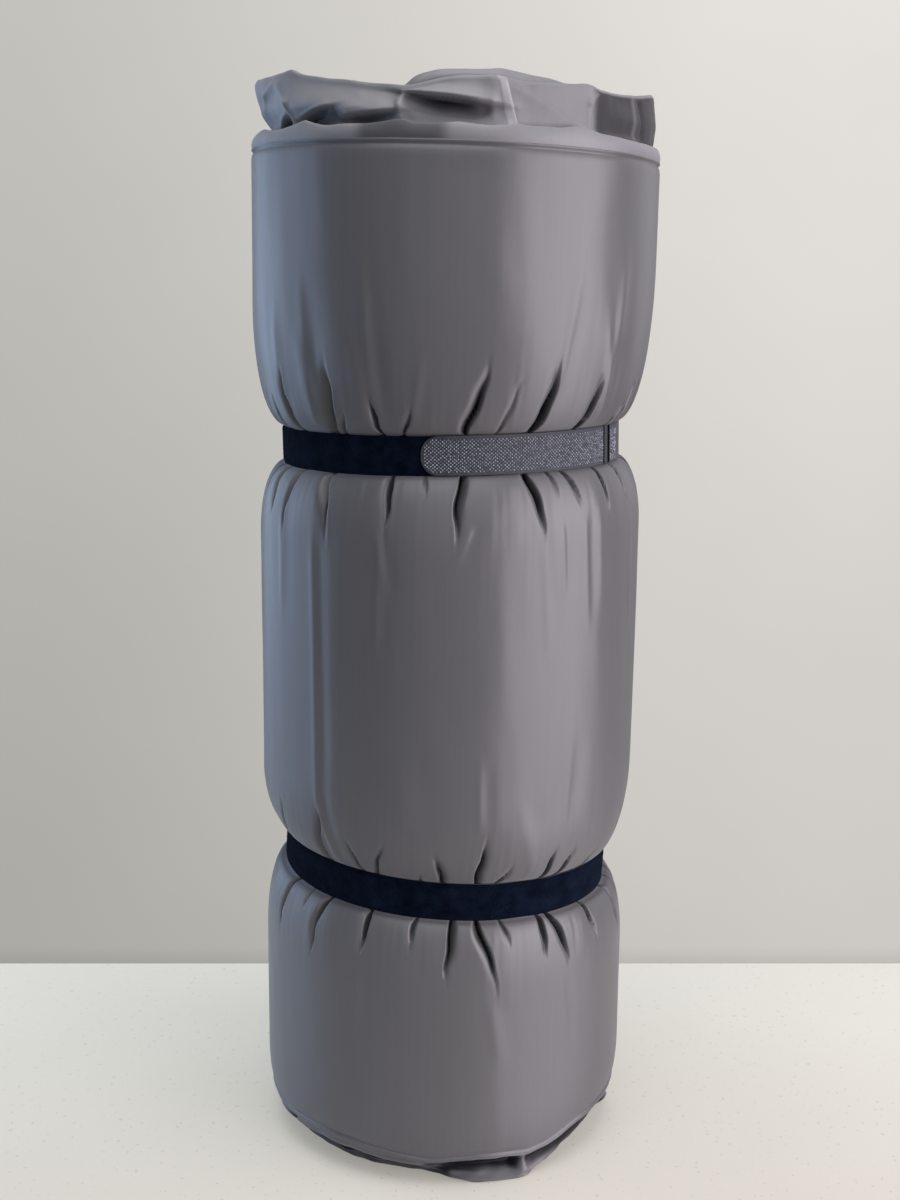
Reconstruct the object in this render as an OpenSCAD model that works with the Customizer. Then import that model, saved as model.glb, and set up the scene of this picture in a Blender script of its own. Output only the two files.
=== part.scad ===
// Box-wall self-inflating sleeping pad, rolled up and standing on its end.
// A foam slab between two fabric covers is rolled into a stepped coil, held by two
// hook-and-loop straps. The side walls collapse into folds at both ends of the roll.
// Angles round the roll are measured from the front (-Y) towards the right (+X).

/* [Roll] */
// Radius of the roll that the coil is laid out on, before each height scales it
roll_r = 130; // [120:0.5:140]
// Radius of the bulge under the lower strap
foot_r = 126.5; // [120:0.5:132]
// Radius of the bulge between the straps
mid_r = 129; // [122:0.5:136]
// Radius of the bulge over the upper strap
head_r = 133; // [125:0.5:140]
// Radius of the roll under the upper strap
waist_1_r = 112.2; // [106:0.2:118]
// Radius of the roll under the lower strap
waist_2_r = 110.6; // [106:0.2:118]
// Height over which a waist opens out to the bulge beside it
waist_run = 22; // [16:1:28]
// How far the ends of the roll pull in at their seams
end_round = 4; // [2:0.5:6]
// Height of the rounding beside each end seam
end_round_h = 16; // [10:1:22]
// Width of the pad from seam to seam, which is the height of the roll's body
pad_w = 646; // [620:1:720]
// Whole turns in the roll
turns = 4; // [3:1:4]
// How far the top of the roll leans to the right of its foot
lean = 10; // [0:0.5:16]
// Angle at which the pad's outer end lies
end_phi = 225; // [215:1:235]

/* [Layers] */
// Thickness of the foam, squeezed by rolling
foam_t = 24; // [20:0.5:25]
// Thickness of the foam at its outer edge, pressed flat
foam_edge_t = 4; // [3:0.5:6]
// Thickness of a fabric cover
cover_t = 0.5; // [0.4:0.05:0.7]
// Clearance between neighbouring layers
layer_gap = 0.35; // [0.3:0.05:0.5]

/* [Side and end walls] */
// Height of the side wall folded up over the top of the roll
top_fold_h = 46; // [36:1:54]
// Height of the side wall folded under the foot of the roll
foot_fold_h = 24; // [18:1:30]
// Thickness of the top wall's folds at their crest
crest_t = 6; // [4:0.5:10]
// How far a folded wall stands in from the covers on each side of it
wall_inset = 1; // [0.6:0.1:2]
// How far the foot's folds are tucked in under the roll
foot_tuck = 4; // [2:0.5:8]
// Length of the collapsed wall at each end of the pad
end_wall_len = 50; // [40:1:54]
// Thickness of the folds of the inner end wall
core_wall_t = 5; // [3:0.5:6]
// Width of the tape that joins the side wall's two ends
joint_tape_w = 5.2; // [4:0.2:8]
// Thickness of that tape
joint_tape_t = 0.4; // [0.3:0.05:0.6]

/* [Straps] */
// Width of the straps
strap_w = 25; // [20:0.5:30]
// Height of the upper strap's middle
strap_1_z = 487; // [460:1:510]
// Height of the lower strap's middle
strap_2_z = 198; // [180:1:240]
// How far the upper strap dips to the right, in degrees
strap_1_tilt = -0.8; // [-3:0.1:3]
// How far the lower strap dips to the right, in degrees
strap_2_tilt = 3.6; // [0:0.1:5]
// Angle of the upper strap's sewn seam
strap_1_seam_phi = 62; // [50:1:80]
// Angle of the lower strap's sewn seam
strap_2_seam_phi = 154; // [145:1:160]
// Thickness of the woven ribbon
ribbon_t = 0.7; // [0.5:0.05:1]
// Thickness of the loop tape with its pile
loop_t = 1; // [0.8:0.05:1.4]
// Thickness of the hook tape
hook_t = 1.1; // [0.8:0.05:1.5]
// Length of the hook tab from its seam to its round tip
tab_len = 143; // [110:1:165]
// Length of hook tape sewn down behind the seam
tab_root_len = 22; // [16:1:26]
// Length of bare ribbon between the seam and the loop tape
bare_ribbon_len = 152; // [140:1:200]
// Distance from the loop tape's free end to the seam, under the tab
free_end_gap = 43; // [30:1:60]
// Length of one stitch
stitch_len = 2.6; // [2:0.1:3.4]
// Stitches in each of the two rows
stitch_count = 6; // [4:1:6]

/* [Valves] */
// Inner radius of a valve's collar
port_r = 11; // [9:0.25:11.5]
// Wall of the collar
collar_t = 2; // [1.5:0.1:2.5]
// How far the collar stands out of the cover
collar_out = 5; // [4:0.5:6]
// How far the collar reaches into the foam
collar_in = 12; // [10.5:0.5:13]
// Radius of the flange welded inside the cover
flange_r = 19; // [18:0.5:20]
// Thickness of the flange
flange_t = 1; // [0.8:0.1:1.5]
// Depth of the pocket in the foam behind a valve
pocket_depth = 22; // [21:0.1:22.4]
// Thickness of the cap's disc and of its skirt
cap_t = 1.8; // [1.4:0.1:2.2]
// Depth of the cap's skirt over the collar
skirt_h = 3.4; // [2.4:0.1:3.6]
// Thickness of the one-way flap
flap_t = 0.8; // [0.6:0.1:1]
// Thickness of the flap's seat ring
seat_t = 1.2; // [1:0.1:1.6]
// Width of the flap's seat ring
seat_w = 2.5; // [1.5:0.25:3.5]
// Thickness of the tether's ring and tongue
tether_t = 0.9; // [0.7:0.1:1]
// Width of the tether's tongue and of the cap's ear
tongue_w = 8; // [6:0.5:10]
// Distance from the upper seam to the inflation valve
inflate_from_seam = 70; // [64:1:76]
// Distance from the lower seam to the deflation valve
deflate_from_seam = 66; // [60:1:72]

/* [Hidden] */

$fn = 96;
stations = 20;                  // flats in one turn of the coil
step_phi = 360 / stations;
soft_gap = 0.3;                 // between soft pieces that lie on each other
sewn_gap = 0.05;                // between layers that are sewn together
fabric_grey = [0.56, 0.56, 0.60];
wall_grey = [0.50, 0.50, 0.53];
foam_cream = [0.80, 0.77, 0.68];
tape_black = [0.06, 0.06, 0.07];
hook_grey = [0.16, 0.16, 0.17];
ribbon_grey = [0.36, 0.37, 0.38];
valve_grey = [0.22, 0.23, 0.24];

// Heights of the roll
seam_low_z = foot_fold_h;
seam_high_z = foot_fold_h + pad_w;
total_h = seam_high_z + top_fold_h;
lean_slope = lean / total_h;
function lean_x(z) = lean_slope * z;

// Half height of the flat that a tilted strap lies on
function waist_half(tilt) = strap_w / 2 + roll_r * sin(abs(tilt)) + 1.5;
half_1 = waist_half(strap_1_tilt);
half_2 = waist_half(strap_2_tilt);

// Height and radius at each level of the roll, from its foot to its top
levels = [
    [seam_low_z, foot_r - end_round],
    [seam_low_z + end_round_h, foot_r],
    [strap_2_z - half_2 - waist_run, foot_r],
    [strap_2_z - half_2, waist_2_r],
    [strap_2_z + half_2, waist_2_r],
    [strap_2_z + half_2 + waist_run, mid_r],
    [strap_1_z - half_1 - waist_run, mid_r],
    [strap_1_z - half_1, waist_1_r],
    [strap_1_z + half_1, waist_1_r],
    [strap_1_z + half_1 + waist_run, head_r],
    [seam_high_z - end_round_h, head_r],
    [seam_high_z, head_r - end_round]];

// The coil: n counts turns back from the pad's outer end. Each turn is round, and steps
// in by one layer beside the outer end. The layer under the end wall makes room for it.
pitch = foam_t + 2 * cover_t + 3 * layer_gap;
edge_t = foam_edge_t + 2 * cover_t + 3 * layer_gap;
step_turn = 0.2;                // part of a turn that the step takes
end_wall_phi = to_deg(end_wall_len, roll_r);
sunk_from = 1 - ceil(end_wall_phi / step_phi) / stations;
sunk_run = 2 / stations;
function to_deg(len, r) = len / r * 180 / PI;
function ease(f) = f <= 0 ? 0 : f >= 1 ? 1 : f * f * (3 - 2 * f);
function sunk(f) = edge_t * ease((f - sunk_from + sunk_run) / sunk_run);
function whole(n) = floor(n + 0.001);
function part_turn(n) = max(0, n - whole(n));
function drop(n) = sunk(part_turn(n)) + (n < 0.999 ? 0 :
    edge_t + (whole(n) - 1) * pitch + ease(part_turn(n) / step_turn) * (pitch - edge_t));
function coil_r(n) = roll_r - drop(n);
function coil_phi(n) = end_phi - 360 * n;
function at(phi, r) = [r * sin(phi), -r * cos(phi)];
coil_turns = [for (i = [0:turns * stations]) i / stations];
function layer_bottom(n) = coil_r(n + 1) + layer_gap;

// Points of a layer at one level: its outer side, then its inner side
function layer_ring(outer, inner) = concat(outer, inner);
function lifted(ring, z, scale) = [for (p = ring) [p[0] * scale + lean_x(z), p[1] * scale, z]];
function strip_faces(count, rows) = let (w = 2 * count) concat(
    [for (k = [0:rows - 2]) for (i = [0:count - 2])
        [k * w + i, k * w + i + 1, (k + 1) * w + i + 1, (k + 1) * w + i]],
    [for (k = [0:rows - 2]) for (i = [0:count - 2])
        [k * w + count + i + 1, k * w + count + i,
            (k + 1) * w + count + i, (k + 1) * w + count + i + 1]],
    [for (k = [0:rows - 2]) [k * w + count, k * w, (k + 1) * w, (k + 1) * w + count]],
    [for (k = [0:rows - 2])
        [k * w + count - 1, k * w + w - 1, (k + 1) * w + w - 1, (k + 1) * w + count - 1]],
    [for (i = [0:count - 2]) [i, count + i, count + i + 1, i + 1]],
    [for (i = [0:count - 2]) let (top = (rows - 1) * w)
        [top + i, top + i + 1, top + count + i + 1, top + count + i]]);

// A layer of the roll, through every level, from lists of its outer and inner points
module waisted_layer(outer, inner) {
    points = [for (level = levels)
        each lifted(layer_ring(outer, inner), level[0], level[1] / roll_r)];
    polyhedron(points, strip_faces(len(outer), len(levels)));
}

// Valves: they sit on the flat of the coil that faces straight back
back_flat = cos(step_phi / 2);
inflate_z = seam_high_z - inflate_from_seam;
deflate_z = seam_low_z + deflate_from_seam;
inflate_y = head_r * back_flat;
deflate_y = foot_r * back_flat;
collar_r = port_r + collar_t;
cap_in_r = collar_r + 0.4;
cap_r = cap_in_r + cap_t;
hinge_gap = 0.4;
hinge_z = cap_r + 2;            // above the valve's middle
pocket_r = flange_r + 0.5;
flange_out = cover_t + layer_gap;
lid_gap = 0.4;                  // between the collar's rim and the closed cap
skirt_end = 4.5;                // the skirt ends this far above the valve's middle
cap_out = collar_out + lid_gap + cap_t;
flap_r = port_r - 0.6;
flap_out = -(collar_in - 1.5);  // outer face of the flap, against its seat

// Places a valve piece: its own +Z points straight out of the cover
module at_valve(y, z) translate([lean_x(z), y, z]) rotate([-90, 0, 0]) children();
module ring(r_out, r_in, z, h) translate([0, 0, z]) difference() {
    cylinder(r = r_out, h = h);
    translate([0, 0, -1]) cylinder(r = r_in, h = h + 2);
}

// Straps: an arc of tape, in degrees from the seam, in the strap's own flat circle
function strap_in_r(waist_r, tilt) =
    (waist_r + soft_gap + strap_w / 2 * (sin(abs(tilt)) + lean_slope)) / cos(tilt);
module tape_arc(from, to, r, t) rotate([0, 0, from - 90])
    rotate_extrude(angle = to - from) translate([r, -strap_w / 2]) square([t, strap_w]);
function loop_r(r) = r + ribbon_t + sewn_gap;
function hook_r(r) = loop_r(r) + loop_t + soft_gap;
tab_gap_len = 1.6;              // clear of the seam on each side of the tab's fold

module on_strap_1() translate([lean_x(strap_1_z), 0, strap_1_z]) rotate([0, strap_1_tilt, 0])
    rotate([0, 0, strap_1_seam_phi]) children();
module on_strap_2() translate([lean_x(strap_2_z), 0, strap_2_z]) rotate([0, strap_2_tilt, 0])
    rotate([0, 0, strap_2_seam_phi]) mirror([1, 0, 0]) children();
strap_1_r = strap_in_r(waist_1_r, strap_1_tilt);
strap_2_r = strap_in_r(waist_2_r, strap_2_tilt);

module strap_ribbon(r) {
    hem_t = loop_t + soft_gap + ribbon_t / 2;
    union() {
        tape_arc(-to_deg(tab_gap_len, r), 360 - to_deg(free_end_gap, r), r, ribbon_t);
        tape_arc(to_deg(tab_gap_len, r), to_deg(tab_root_len + 4, r), r + ribbon_t / 2, hem_t);
    }
}
module strap_loop_tape(r) tape_arc(to_deg(bare_ribbon_len, r),
    360 - to_deg(free_end_gap, r), loop_r(r), loop_t);
// The hook tab, with its tip cut to a blunt round
module strap_hook_tab(r) {
    half = strap_w / 2;
    tip_phi = to_deg(tab_len, hook_r(r));
    round_phi = tip_phi - to_deg(half, hook_r(r));
    outline = concat(
        [for (a = [-75:30:75]) [-half * cos(a), half * sin(a)]],
        [[2, half + 1], [tab_len, half + 1], [tab_len, -half - 1], [2, -half - 1]]);
    intersection() {
        tape_arc(-tip_phi, -to_deg(tab_gap_len, r), hook_r(r), hook_t);
        rotate([0, 0, -round_phi]) rotate([90, 0, 0])
            linear_extrude(height = 2 * hook_r(r)) polygon(outline);
    }
}
module strap_tab_root(r) tape_arc(to_deg(tab_gap_len, r), to_deg(tab_root_len, r),
    hook_r(r) + sewn_gap, hook_t - sewn_gap);
module strap_stitches(r) {
    thread_t = 0.45;
    row_gap = 3;
    pitch_z = (strap_w - 4) / stitch_count;
    for (row = [1, 2]) for (i = [0:stitch_count - 1])
        rotate([0, 0, to_deg(tab_gap_len + row * row_gap, r)])
            translate([-thread_t / 2, -hook_r(r) - hook_t - sewn_gap - thread_t,
                (i + 0.5 - stitch_count / 2) * pitch_z - stitch_len / 2])
                cube([thread_t, thread_t, stitch_len]);
}

module foam_core() {
    outer = [for (n = coil_turns) at(coil_phi(n), coil_r(n) - cover_t - layer_gap)];
    inner = [for (n = coil_turns) at(coil_phi(n), layer_bottom(n) + cover_t + layer_gap)];
    color(foam_cream) difference() {
        waisted_layer(outer, inner);
        at_valve(inflate_y, inflate_z) translate([0, 0, -pocket_depth])
            cylinder(r = pocket_r, h = pocket_depth + cap_out);
        at_valve(deflate_y, deflate_z) translate([0, 0, -pocket_depth])
            cylinder(r = pocket_r, h = pocket_depth + cap_out);
    }
}
module outer_cover() {
    outer = [for (n = coil_turns) at(coil_phi(n), coil_r(n))];
    inner = [for (n = coil_turns) at(coil_phi(n), coil_r(n) - cover_t)];
    color(fabric_grey) difference() {
        waisted_layer(outer, inner);
        at_valve(inflate_y, inflate_z) translate([0, 0, -collar_t])
            cylinder(r = collar_r + soft_gap, h = collar_t + cap_out);
        at_valve(deflate_y, deflate_z) translate([0, 0, -collar_t])
            cylinder(r = collar_r + soft_gap, h = collar_t + cap_out);
    }
}
module inner_cover() {
    outer = [for (n = coil_turns) at(coil_phi(n), layer_bottom(n) + cover_t)];
    inner = [for (n = coil_turns) at(coil_phi(n), layer_bottom(n))];
    color(fabric_grey) waisted_layer(outer, inner);
}
// The side wall folded up: wide where it leaves the covers, narrow at its crest
module top_side_wall() {
    scale = (head_r - end_round) / roll_r;
    outer = [for (n = coil_turns) at(coil_phi(n), coil_r(n) - wall_inset)];
    inner = [for (n = coil_turns) at(coil_phi(n), layer_bottom(n) + wall_inset)];
    function crest(n, side) = let (half = (coil_r(n) - layer_bottom(n)) / 2)
        layer_bottom(n) + half + side * min(crest_t / 2, half - wall_inset);
    crest_outer = [for (n = coil_turns) at(coil_phi(n), crest(n, 1))];
    crest_inner = [for (n = coil_turns) at(coil_phi(n), crest(n, -1))];
    points = concat(
        lifted(layer_ring(outer, inner), seam_high_z + layer_gap, scale),
        lifted(layer_ring(crest_outer, crest_inner), total_h, scale));
    color(wall_grey) polyhedron(points, strip_faces(len(outer), 2));
}
// The side wall folded under: the roll stands on it
module bottom_side_wall() {
    scale = (foot_r - end_round - foot_tuck) / roll_r;
    last = len(coil_turns) - 1;
    outer = [for (n = coil_turns) at(coil_phi(n), coil_r(n) - wall_inset) * scale];
    inner = [for (i = [last:-1:0]) let (n = coil_turns[i])
        at(coil_phi(n), layer_bottom(n) + wall_inset) * scale];
    color(wall_grey) linear_extrude(height = seam_low_z - layer_gap) polygon(concat(outer, inner));
}
// The collapsed wall at the pad's outer end, lying on the roll behind the foam's edge
module head_end_wall() {
    pieces = 6;
    outer = [for (i = [0:pieces])
        at(end_phi + to_deg(1, roll_r) + (pieces - i) * end_wall_phi / pieces, roll_r)];
    inner = [for (i = [0:pieces])
        at(end_phi + to_deg(1, roll_r) + (pieces - i) * end_wall_phi / pieces,
            roll_r - edge_t + layer_gap)];
    color(wall_grey) waisted_layer(outer, inner);
}
// The collapsed wall at the pad's inner end, curled in the core of the roll
module foot_end_wall() {
    core_r = coil_r(turns + step_turn) * min(waist_1_r, waist_2_r) / roll_r * back_flat - soft_gap;
    start_phi = end_phi - to_deg(1, core_r);
    arc_phi = to_deg(end_wall_len, core_r);
    pieces = 8;
    color(wall_grey) multmatrix([[1, 0, lean_slope, 0], [0, 1, 0, 0], [0, 0, 1, 0]])
        translate([0, 0, seam_low_z]) linear_extrude(height = pad_w) polygon(concat(
            [for (i = [0:pieces]) at(start_phi - i * arc_phi / pieces, core_r)],
            [for (i = [pieces:-1:0]) at(start_phi - i * arc_phi / pieces, core_r - core_wall_t)]));
}
// The strip that joins the side wall's ends, on the flat of the coil it lies over
module wall_joint_tape() {
    flat = 11.5;                // flats from the pad's outer end
    phi = end_phi - flat * step_phi;
    scale = (head_r - end_round) / roll_r * back_flat;
    foot_y = (roll_r - wall_inset) * scale;
    rise = top_fold_h - layer_gap;
    half = (pitch - layer_gap) / 2;
    run = (half - wall_inset - crest_t / 2) * scale;
    slope = atan(run / rise);
    color(fabric_grey) translate([lean_x(seam_high_z), 0, 0]) rotate([0, 0, phi])
        translate([0, -foot_y, seam_high_z + layer_gap]) rotate([-slope, 0, 0])
            translate([-joint_tape_w / 2, -soft_gap - joint_tape_t, 0])
                cube([joint_tape_w, joint_tape_t, rise / cos(slope) - 1]);
}

module strap_1_ribbon() color(ribbon_grey) on_strap_1() strap_ribbon(strap_1_r);
module strap_1_loop_tape() color(tape_black) on_strap_1() strap_loop_tape(strap_1_r);
module strap_1_hook_tab() color(hook_grey) on_strap_1() strap_hook_tab(strap_1_r);
module strap_1_tab_root() color(hook_grey) on_strap_1() strap_tab_root(strap_1_r);
module strap_1_stitches() color(ribbon_grey) on_strap_1() strap_stitches(strap_1_r);
module strap_2_ribbon() color(ribbon_grey) on_strap_2() strap_ribbon(strap_2_r);
module strap_2_loop_tape() color(tape_black) on_strap_2() strap_loop_tape(strap_2_r);
module strap_2_hook_tab() color(hook_grey) on_strap_2() strap_hook_tab(strap_2_r);
module strap_2_tab_root() color(hook_grey) on_strap_2() strap_tab_root(strap_2_r);
module strap_2_stitches() color(ribbon_grey) on_strap_2() strap_stitches(strap_2_r);

module valve_flange() ring(flange_r, collar_r + sewn_gap, -flange_out - flange_t, flange_t);
module valve_collar() ring(collar_r, port_r, -collar_in, collar_in + collar_out);
module valve_cap() {
    disc_z = collar_out + lid_gap;
    union() {
        translate([0, 0, disc_z]) cylinder(r = cap_r, h = cap_t);
        difference() {
            ring(cap_r, cap_in_r, disc_z - skirt_h, skirt_h + cap_t / 2);
            // The skirt stops short of the hinge, so that it clears the collar as it opens
            translate([-cap_r - 1, -cap_r - 1, disc_z - skirt_h - 1])
                cube([2 * cap_r + 2, cap_r + 1 - skirt_end, skirt_h + 1]);
        }
        translate([-tongue_w / 2, -hinge_z + hinge_gap, disc_z])
            cube([tongue_w, hinge_z - cap_r + 3, cap_t]);
    }
}
module valve_tether() {
    ring_z = 0.4;
    difference() {
        union() {
            translate([0, 0, ring_z]) cylinder(r = cap_r, h = tether_t);
            translate([-tongue_w / 2, -hinge_z - hinge_gap - 1.4, ring_z])
                cube([tongue_w, hinge_z + hinge_gap + 1.4, tether_t]);
            translate([-tongue_w / 2, -hinge_z - hinge_gap - 1.4, ring_z])
                cube([tongue_w, 1.4, cap_out - ring_z - 0.4]);
        }
        translate([0, 0, ring_z - 1]) cylinder(r = collar_r + soft_gap, h = tether_t + 2);
    }
}
module inflate_valve_flange() color(valve_grey) at_valve(inflate_y, inflate_z) valve_flange();
module inflate_valve_collar() color(valve_grey) at_valve(inflate_y, inflate_z) union() {
    valve_collar();
    ring(port_r + collar_t / 2, port_r - seat_w, flap_out + 0.2, seat_t);
}
module inflate_valve_flap() color(tape_black) at_valve(inflate_y, inflate_z)
    translate([0, 0, flap_out - flap_t]) cylinder(r = flap_r, h = flap_t);
module inflate_valve_cap() color(valve_grey) at_valve(inflate_y, inflate_z) valve_cap();
module inflate_valve_tether() color(valve_grey) at_valve(inflate_y, inflate_z) valve_tether();
module deflate_valve_flange() color(valve_grey) at_valve(deflate_y, deflate_z) valve_flange();
module deflate_valve_collar() color(valve_grey) at_valve(deflate_y, deflate_z) valve_collar();
module deflate_valve_cap() color(valve_grey) at_valve(deflate_y, deflate_z) valve_cap();
module deflate_valve_tether() color(valve_grey) at_valve(deflate_y, deflate_z) valve_tether();

foam_core();
outer_cover();
inner_cover();
top_side_wall();
bottom_side_wall();
head_end_wall();
foot_end_wall();
wall_joint_tape();
strap_1_ribbon();
strap_1_loop_tape();
strap_1_hook_tab();
strap_1_tab_root();
strap_1_stitches();
strap_2_ribbon();
strap_2_loop_tape();
strap_2_hook_tab();
strap_2_tab_root();
strap_2_stitches();
inflate_valve_flange();
inflate_valve_collar();
inflate_valve_flap();
inflate_valve_cap();
inflate_valve_tether();
deflate_valve_flange();
deflate_valve_collar();
deflate_valve_cap();
deflate_valve_tether();
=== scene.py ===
import math
import bpy
import numpy as np
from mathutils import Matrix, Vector


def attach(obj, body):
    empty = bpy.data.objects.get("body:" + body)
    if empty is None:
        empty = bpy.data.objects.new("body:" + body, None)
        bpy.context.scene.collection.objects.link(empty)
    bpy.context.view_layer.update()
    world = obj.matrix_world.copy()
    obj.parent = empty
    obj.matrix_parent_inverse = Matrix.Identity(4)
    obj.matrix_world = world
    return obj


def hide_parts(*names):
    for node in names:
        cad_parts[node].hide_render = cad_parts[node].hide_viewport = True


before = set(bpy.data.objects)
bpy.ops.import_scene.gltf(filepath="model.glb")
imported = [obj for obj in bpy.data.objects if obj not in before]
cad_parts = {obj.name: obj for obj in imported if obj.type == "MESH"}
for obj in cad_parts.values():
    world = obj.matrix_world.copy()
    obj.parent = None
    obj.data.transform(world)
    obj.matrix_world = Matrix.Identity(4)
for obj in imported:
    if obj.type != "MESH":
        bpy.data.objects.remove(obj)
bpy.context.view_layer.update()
mm = 0.001

# Angles run from the front (-Y) towards the right (+X), in degrees
roll = {
    "turns": 4,
    "endPhi": 225.0,           # where the pad's outer end lies
    "laidOutR": 130 * mm,
    "pitch": 26.05 * mm,
    "edgeT": 6.05 * mm,
    "stepTurn": 0.2,
    "sinkFrom": 325 / 360,     # where the turn sinks to make room for the end wall
    "sinkRun": 12 / 360,
    "lowZ": 24 * mm,
    "highZ": 670 * mm,
    "leanSlope": 10 / 716,
    "skin": 0.85 * mm,         # from a cover's face to the foam
    "gap": 0.35 * mm,          # between neighbouring layers
}

# By strap: height and tilt of its middle, the angle of the tab's seam, the way round that it is
# laid, and the radius of the cloth under it and of its ribbon
straps = {
    "strap_1": {"z": 487 * mm, "tilt": -0.8, "seam": 62.0, "way": 1, "waist": 112.2 * mm, "r": 112.7 * mm},
    "strap_2": {"z": 198 * mm, "tilt": 3.6, "seam": 154.0, "way": -1, "waist": 110.5 * mm, "r": 111.92 * mm},
}
strapHalf = 12.5 * mm

# By valve: height, and how far back the flat lies that it sits on
valves = {
    "inflate": {"z": 600 * mm, "y": 131.36 * mm},
    "deflate": {"z": 90 * mm, "y": 124.94 * mm},
}
# Round each valve: the hole and the flat in the cloth, and how the inner turns give way
port = {"hole": 12.3 * mm, "snap": 2.2 * mm, "flat": 30 * mm, "flatRun": 11 * mm, "proud": 0.15 * mm,
        "press": 3 * mm, "pressReach": 22 * mm}


def ease(f):
    f = np.clip(f, 0, 1)
    return f * f * (3 - 2 * f)


def leanX(z):
    return roll["leanSlope"] * z


# A place by its angle, radius and height on the roll's slightly leaning axis
def spot(phi, r, z):
    a = np.radians(phi)
    return np.stack(np.broadcast_arrays(r * np.sin(a) + leanX(z), -r * np.cos(a), z), axis=-1)


# Smooth seeded unevenness: a sum of waves between two lengths, about -1 to 1
def unevenness(seed, count, shortest, longest, stretch=1.0):
    rng = np.random.default_rng(seed)
    angle = rng.uniform(0, 2 * math.pi, count)
    k = 2 * math.pi / rng.uniform(shortest, longest, count)
    phase = rng.uniform(0, 2 * math.pi, count)

    def value(u, v):
        total = 0
        for i in range(count):
            total = total + np.sin(k[i] * (np.cos(angle[i]) * u + np.sin(angle[i]) * v / stretch) + phase[i])
        return total / math.sqrt(count)
    return value


# Values smoothed along a line, with width in samples
def blurred(values, width):
    if width < 0.3:
        return values
    reach = int(3 * width) + 1
    kernel = np.exp(-0.5 * (np.arange(-reach, reach + 1) / width) ** 2)
    kernel /= kernel.sum()
    padded = np.concatenate([np.full(reach, values[0]), values, np.full(reach, values[-1])])
    return np.convolve(padded, kernel, "valid")


# A smooth mesh; shade is the painted shade of each point, deepest where it lies in a crease
def pieceFrom(name, points, faces, uv, material, shade=None):
    mesh = bpy.data.meshes.new(name)
    mesh.from_pydata([tuple(p) for p in points], [], faces)
    mesh.polygons.foreach_set("use_smooth", [True] * len(mesh.polygons))
    if uv is not None:
        layer = mesh.uv_layers.new(name="cloth")
        corners = np.empty(len(mesh.loops), dtype=np.int32)
        mesh.loops.foreach_get("vertex_index", corners)
        layer.data.foreach_set("uv", np.asarray(uv, dtype=np.float32)[corners].ravel())
    if shade is not None:
        depth = mesh.attributes.new("shade", "FLOAT", "POINT")
        depth.data.foreach_set("value", np.asarray(shade, dtype=np.float32).ravel())
    if material:
        mesh.materials.append(material)
    mesh.update()
    piece = bpy.data.objects.new(name, mesh)
    bpy.context.scene.collection.objects.link(piece)
    return piece


def gridFaces(rows, cols, flip=False, start=0, keep=None, wrapRows=False):
    faces = []
    for i in range(rows if wrapRows else rows - 1):
        a, b = start + i * cols, start + ((i + 1) % rows) * cols
        for j in range(cols - 1):
            if keep is not None and not keep[i, j]:
                continue
            quad = (a + j, a + j + 1, b + j + 1, b + j)
            faces.append(quad[::-1] if flip else quad)
    return faces


def gridPiece(name, points, uv, material, flip=False, keep=None, shade=None):
    rows, cols = points.shape[:2]
    return pieceFrom(name, points.reshape(-1, 3), gridFaces(rows, cols, flip, 0, keep),
                     uv.reshape(-1, 2), material, shade)


# The coil: n counts turns back from the pad's outer end
def coilPhi(n):
    return roll["endPhi"] - 360 * n


# How far in from the outer end's radius the coil has come
def turnDrop(n):
    n = np.asarray(n, dtype=float)
    whole = np.floor(n + 1e-6)
    part = np.maximum(0, n - whole)
    sunk = roll["edgeT"] * ease((part - roll["sinkFrom"]) / roll["sinkRun"])
    step = roll["edgeT"] + (whole - 1) * roll["pitch"] \
        + ease(part / roll["stepTurn"]) * (roll["pitch"] - roll["edgeT"])
    return sunk + np.where(whole < 1, 0, step)


def coilR(n):
    return roll["laidOutR"] - turnDrop(n)


# Length of cloth from the outer end
def coilArc(n):
    return 2 * math.pi * (roll["laidOutR"] * n - roll["pitch"] * n * n / 2)


# The shape of the outer turn
cover = {
    "foot": 126.9 * mm, "mid": 129.2 * mm, "head": 133.9 * mm,    # radius of each bulge
    "midFrom": 180 * mm, "midBlend": 36 * mm, "headFrom": 475 * mm, "headBlend": 24 * mm,
    # by strap and side of it: how far the bulge runs, and how sharply it leaves the strap
    "flanks": {("strap_1", 1): (90 * mm, 0.47), ("strap_1", -1): (44 * mm, 0.46),
               ("strap_2", 1): (50 * mm, 0.56), ("strap_2", -1): (44 * mm, 0.34)},
    "puckerPower": 1.25,       # how much later a pucker's floor rises than the cloth beside it
    "puckerWide": 0.50,
    "fullSway": 45 * mm, "fullDepth": 30 * mm,      # length from which a pucker has both in full
    "crease": 2.1 * mm, "creaseWidth": 1.1 * mm,
    "drawn": 0.17 * mm, "drawnRun": 30 * mm,        # finest gathers along the tape
    "loose": 0.5 * mm, "detail": 0.07 * mm, "runUneven": 0.16,
    # tapeShade is painted shade along the tapes, fading over tapeShadeRun
    "tapeShade": 0.45, "tapeShadeRun": 1.3 * mm, "clearOfTape": 9 * mm,
    "footTuck": 3.4 * mm, "footRun": 26 * mm,
    "headTuck": 1.0 * mm, "headRun": 8 * mm,
    # along the sewn edges a bead and a dip: height, distance from the seam, and width
    "bead": (0.8 * mm, 0.7 * mm, 0.8 * mm), "dip": (1.0 * mm, 2.8 * mm, 1.2 * mm),
    # a faint crease under the upper seam
    "faint": 0.2 * mm, "faintZ": 656.5 * mm, "faintWide": 1.8 * mm,
    "arcR": 125 * mm, "ridgeR": 128 * mm,           # radii that turn an angle into a length
}

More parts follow.
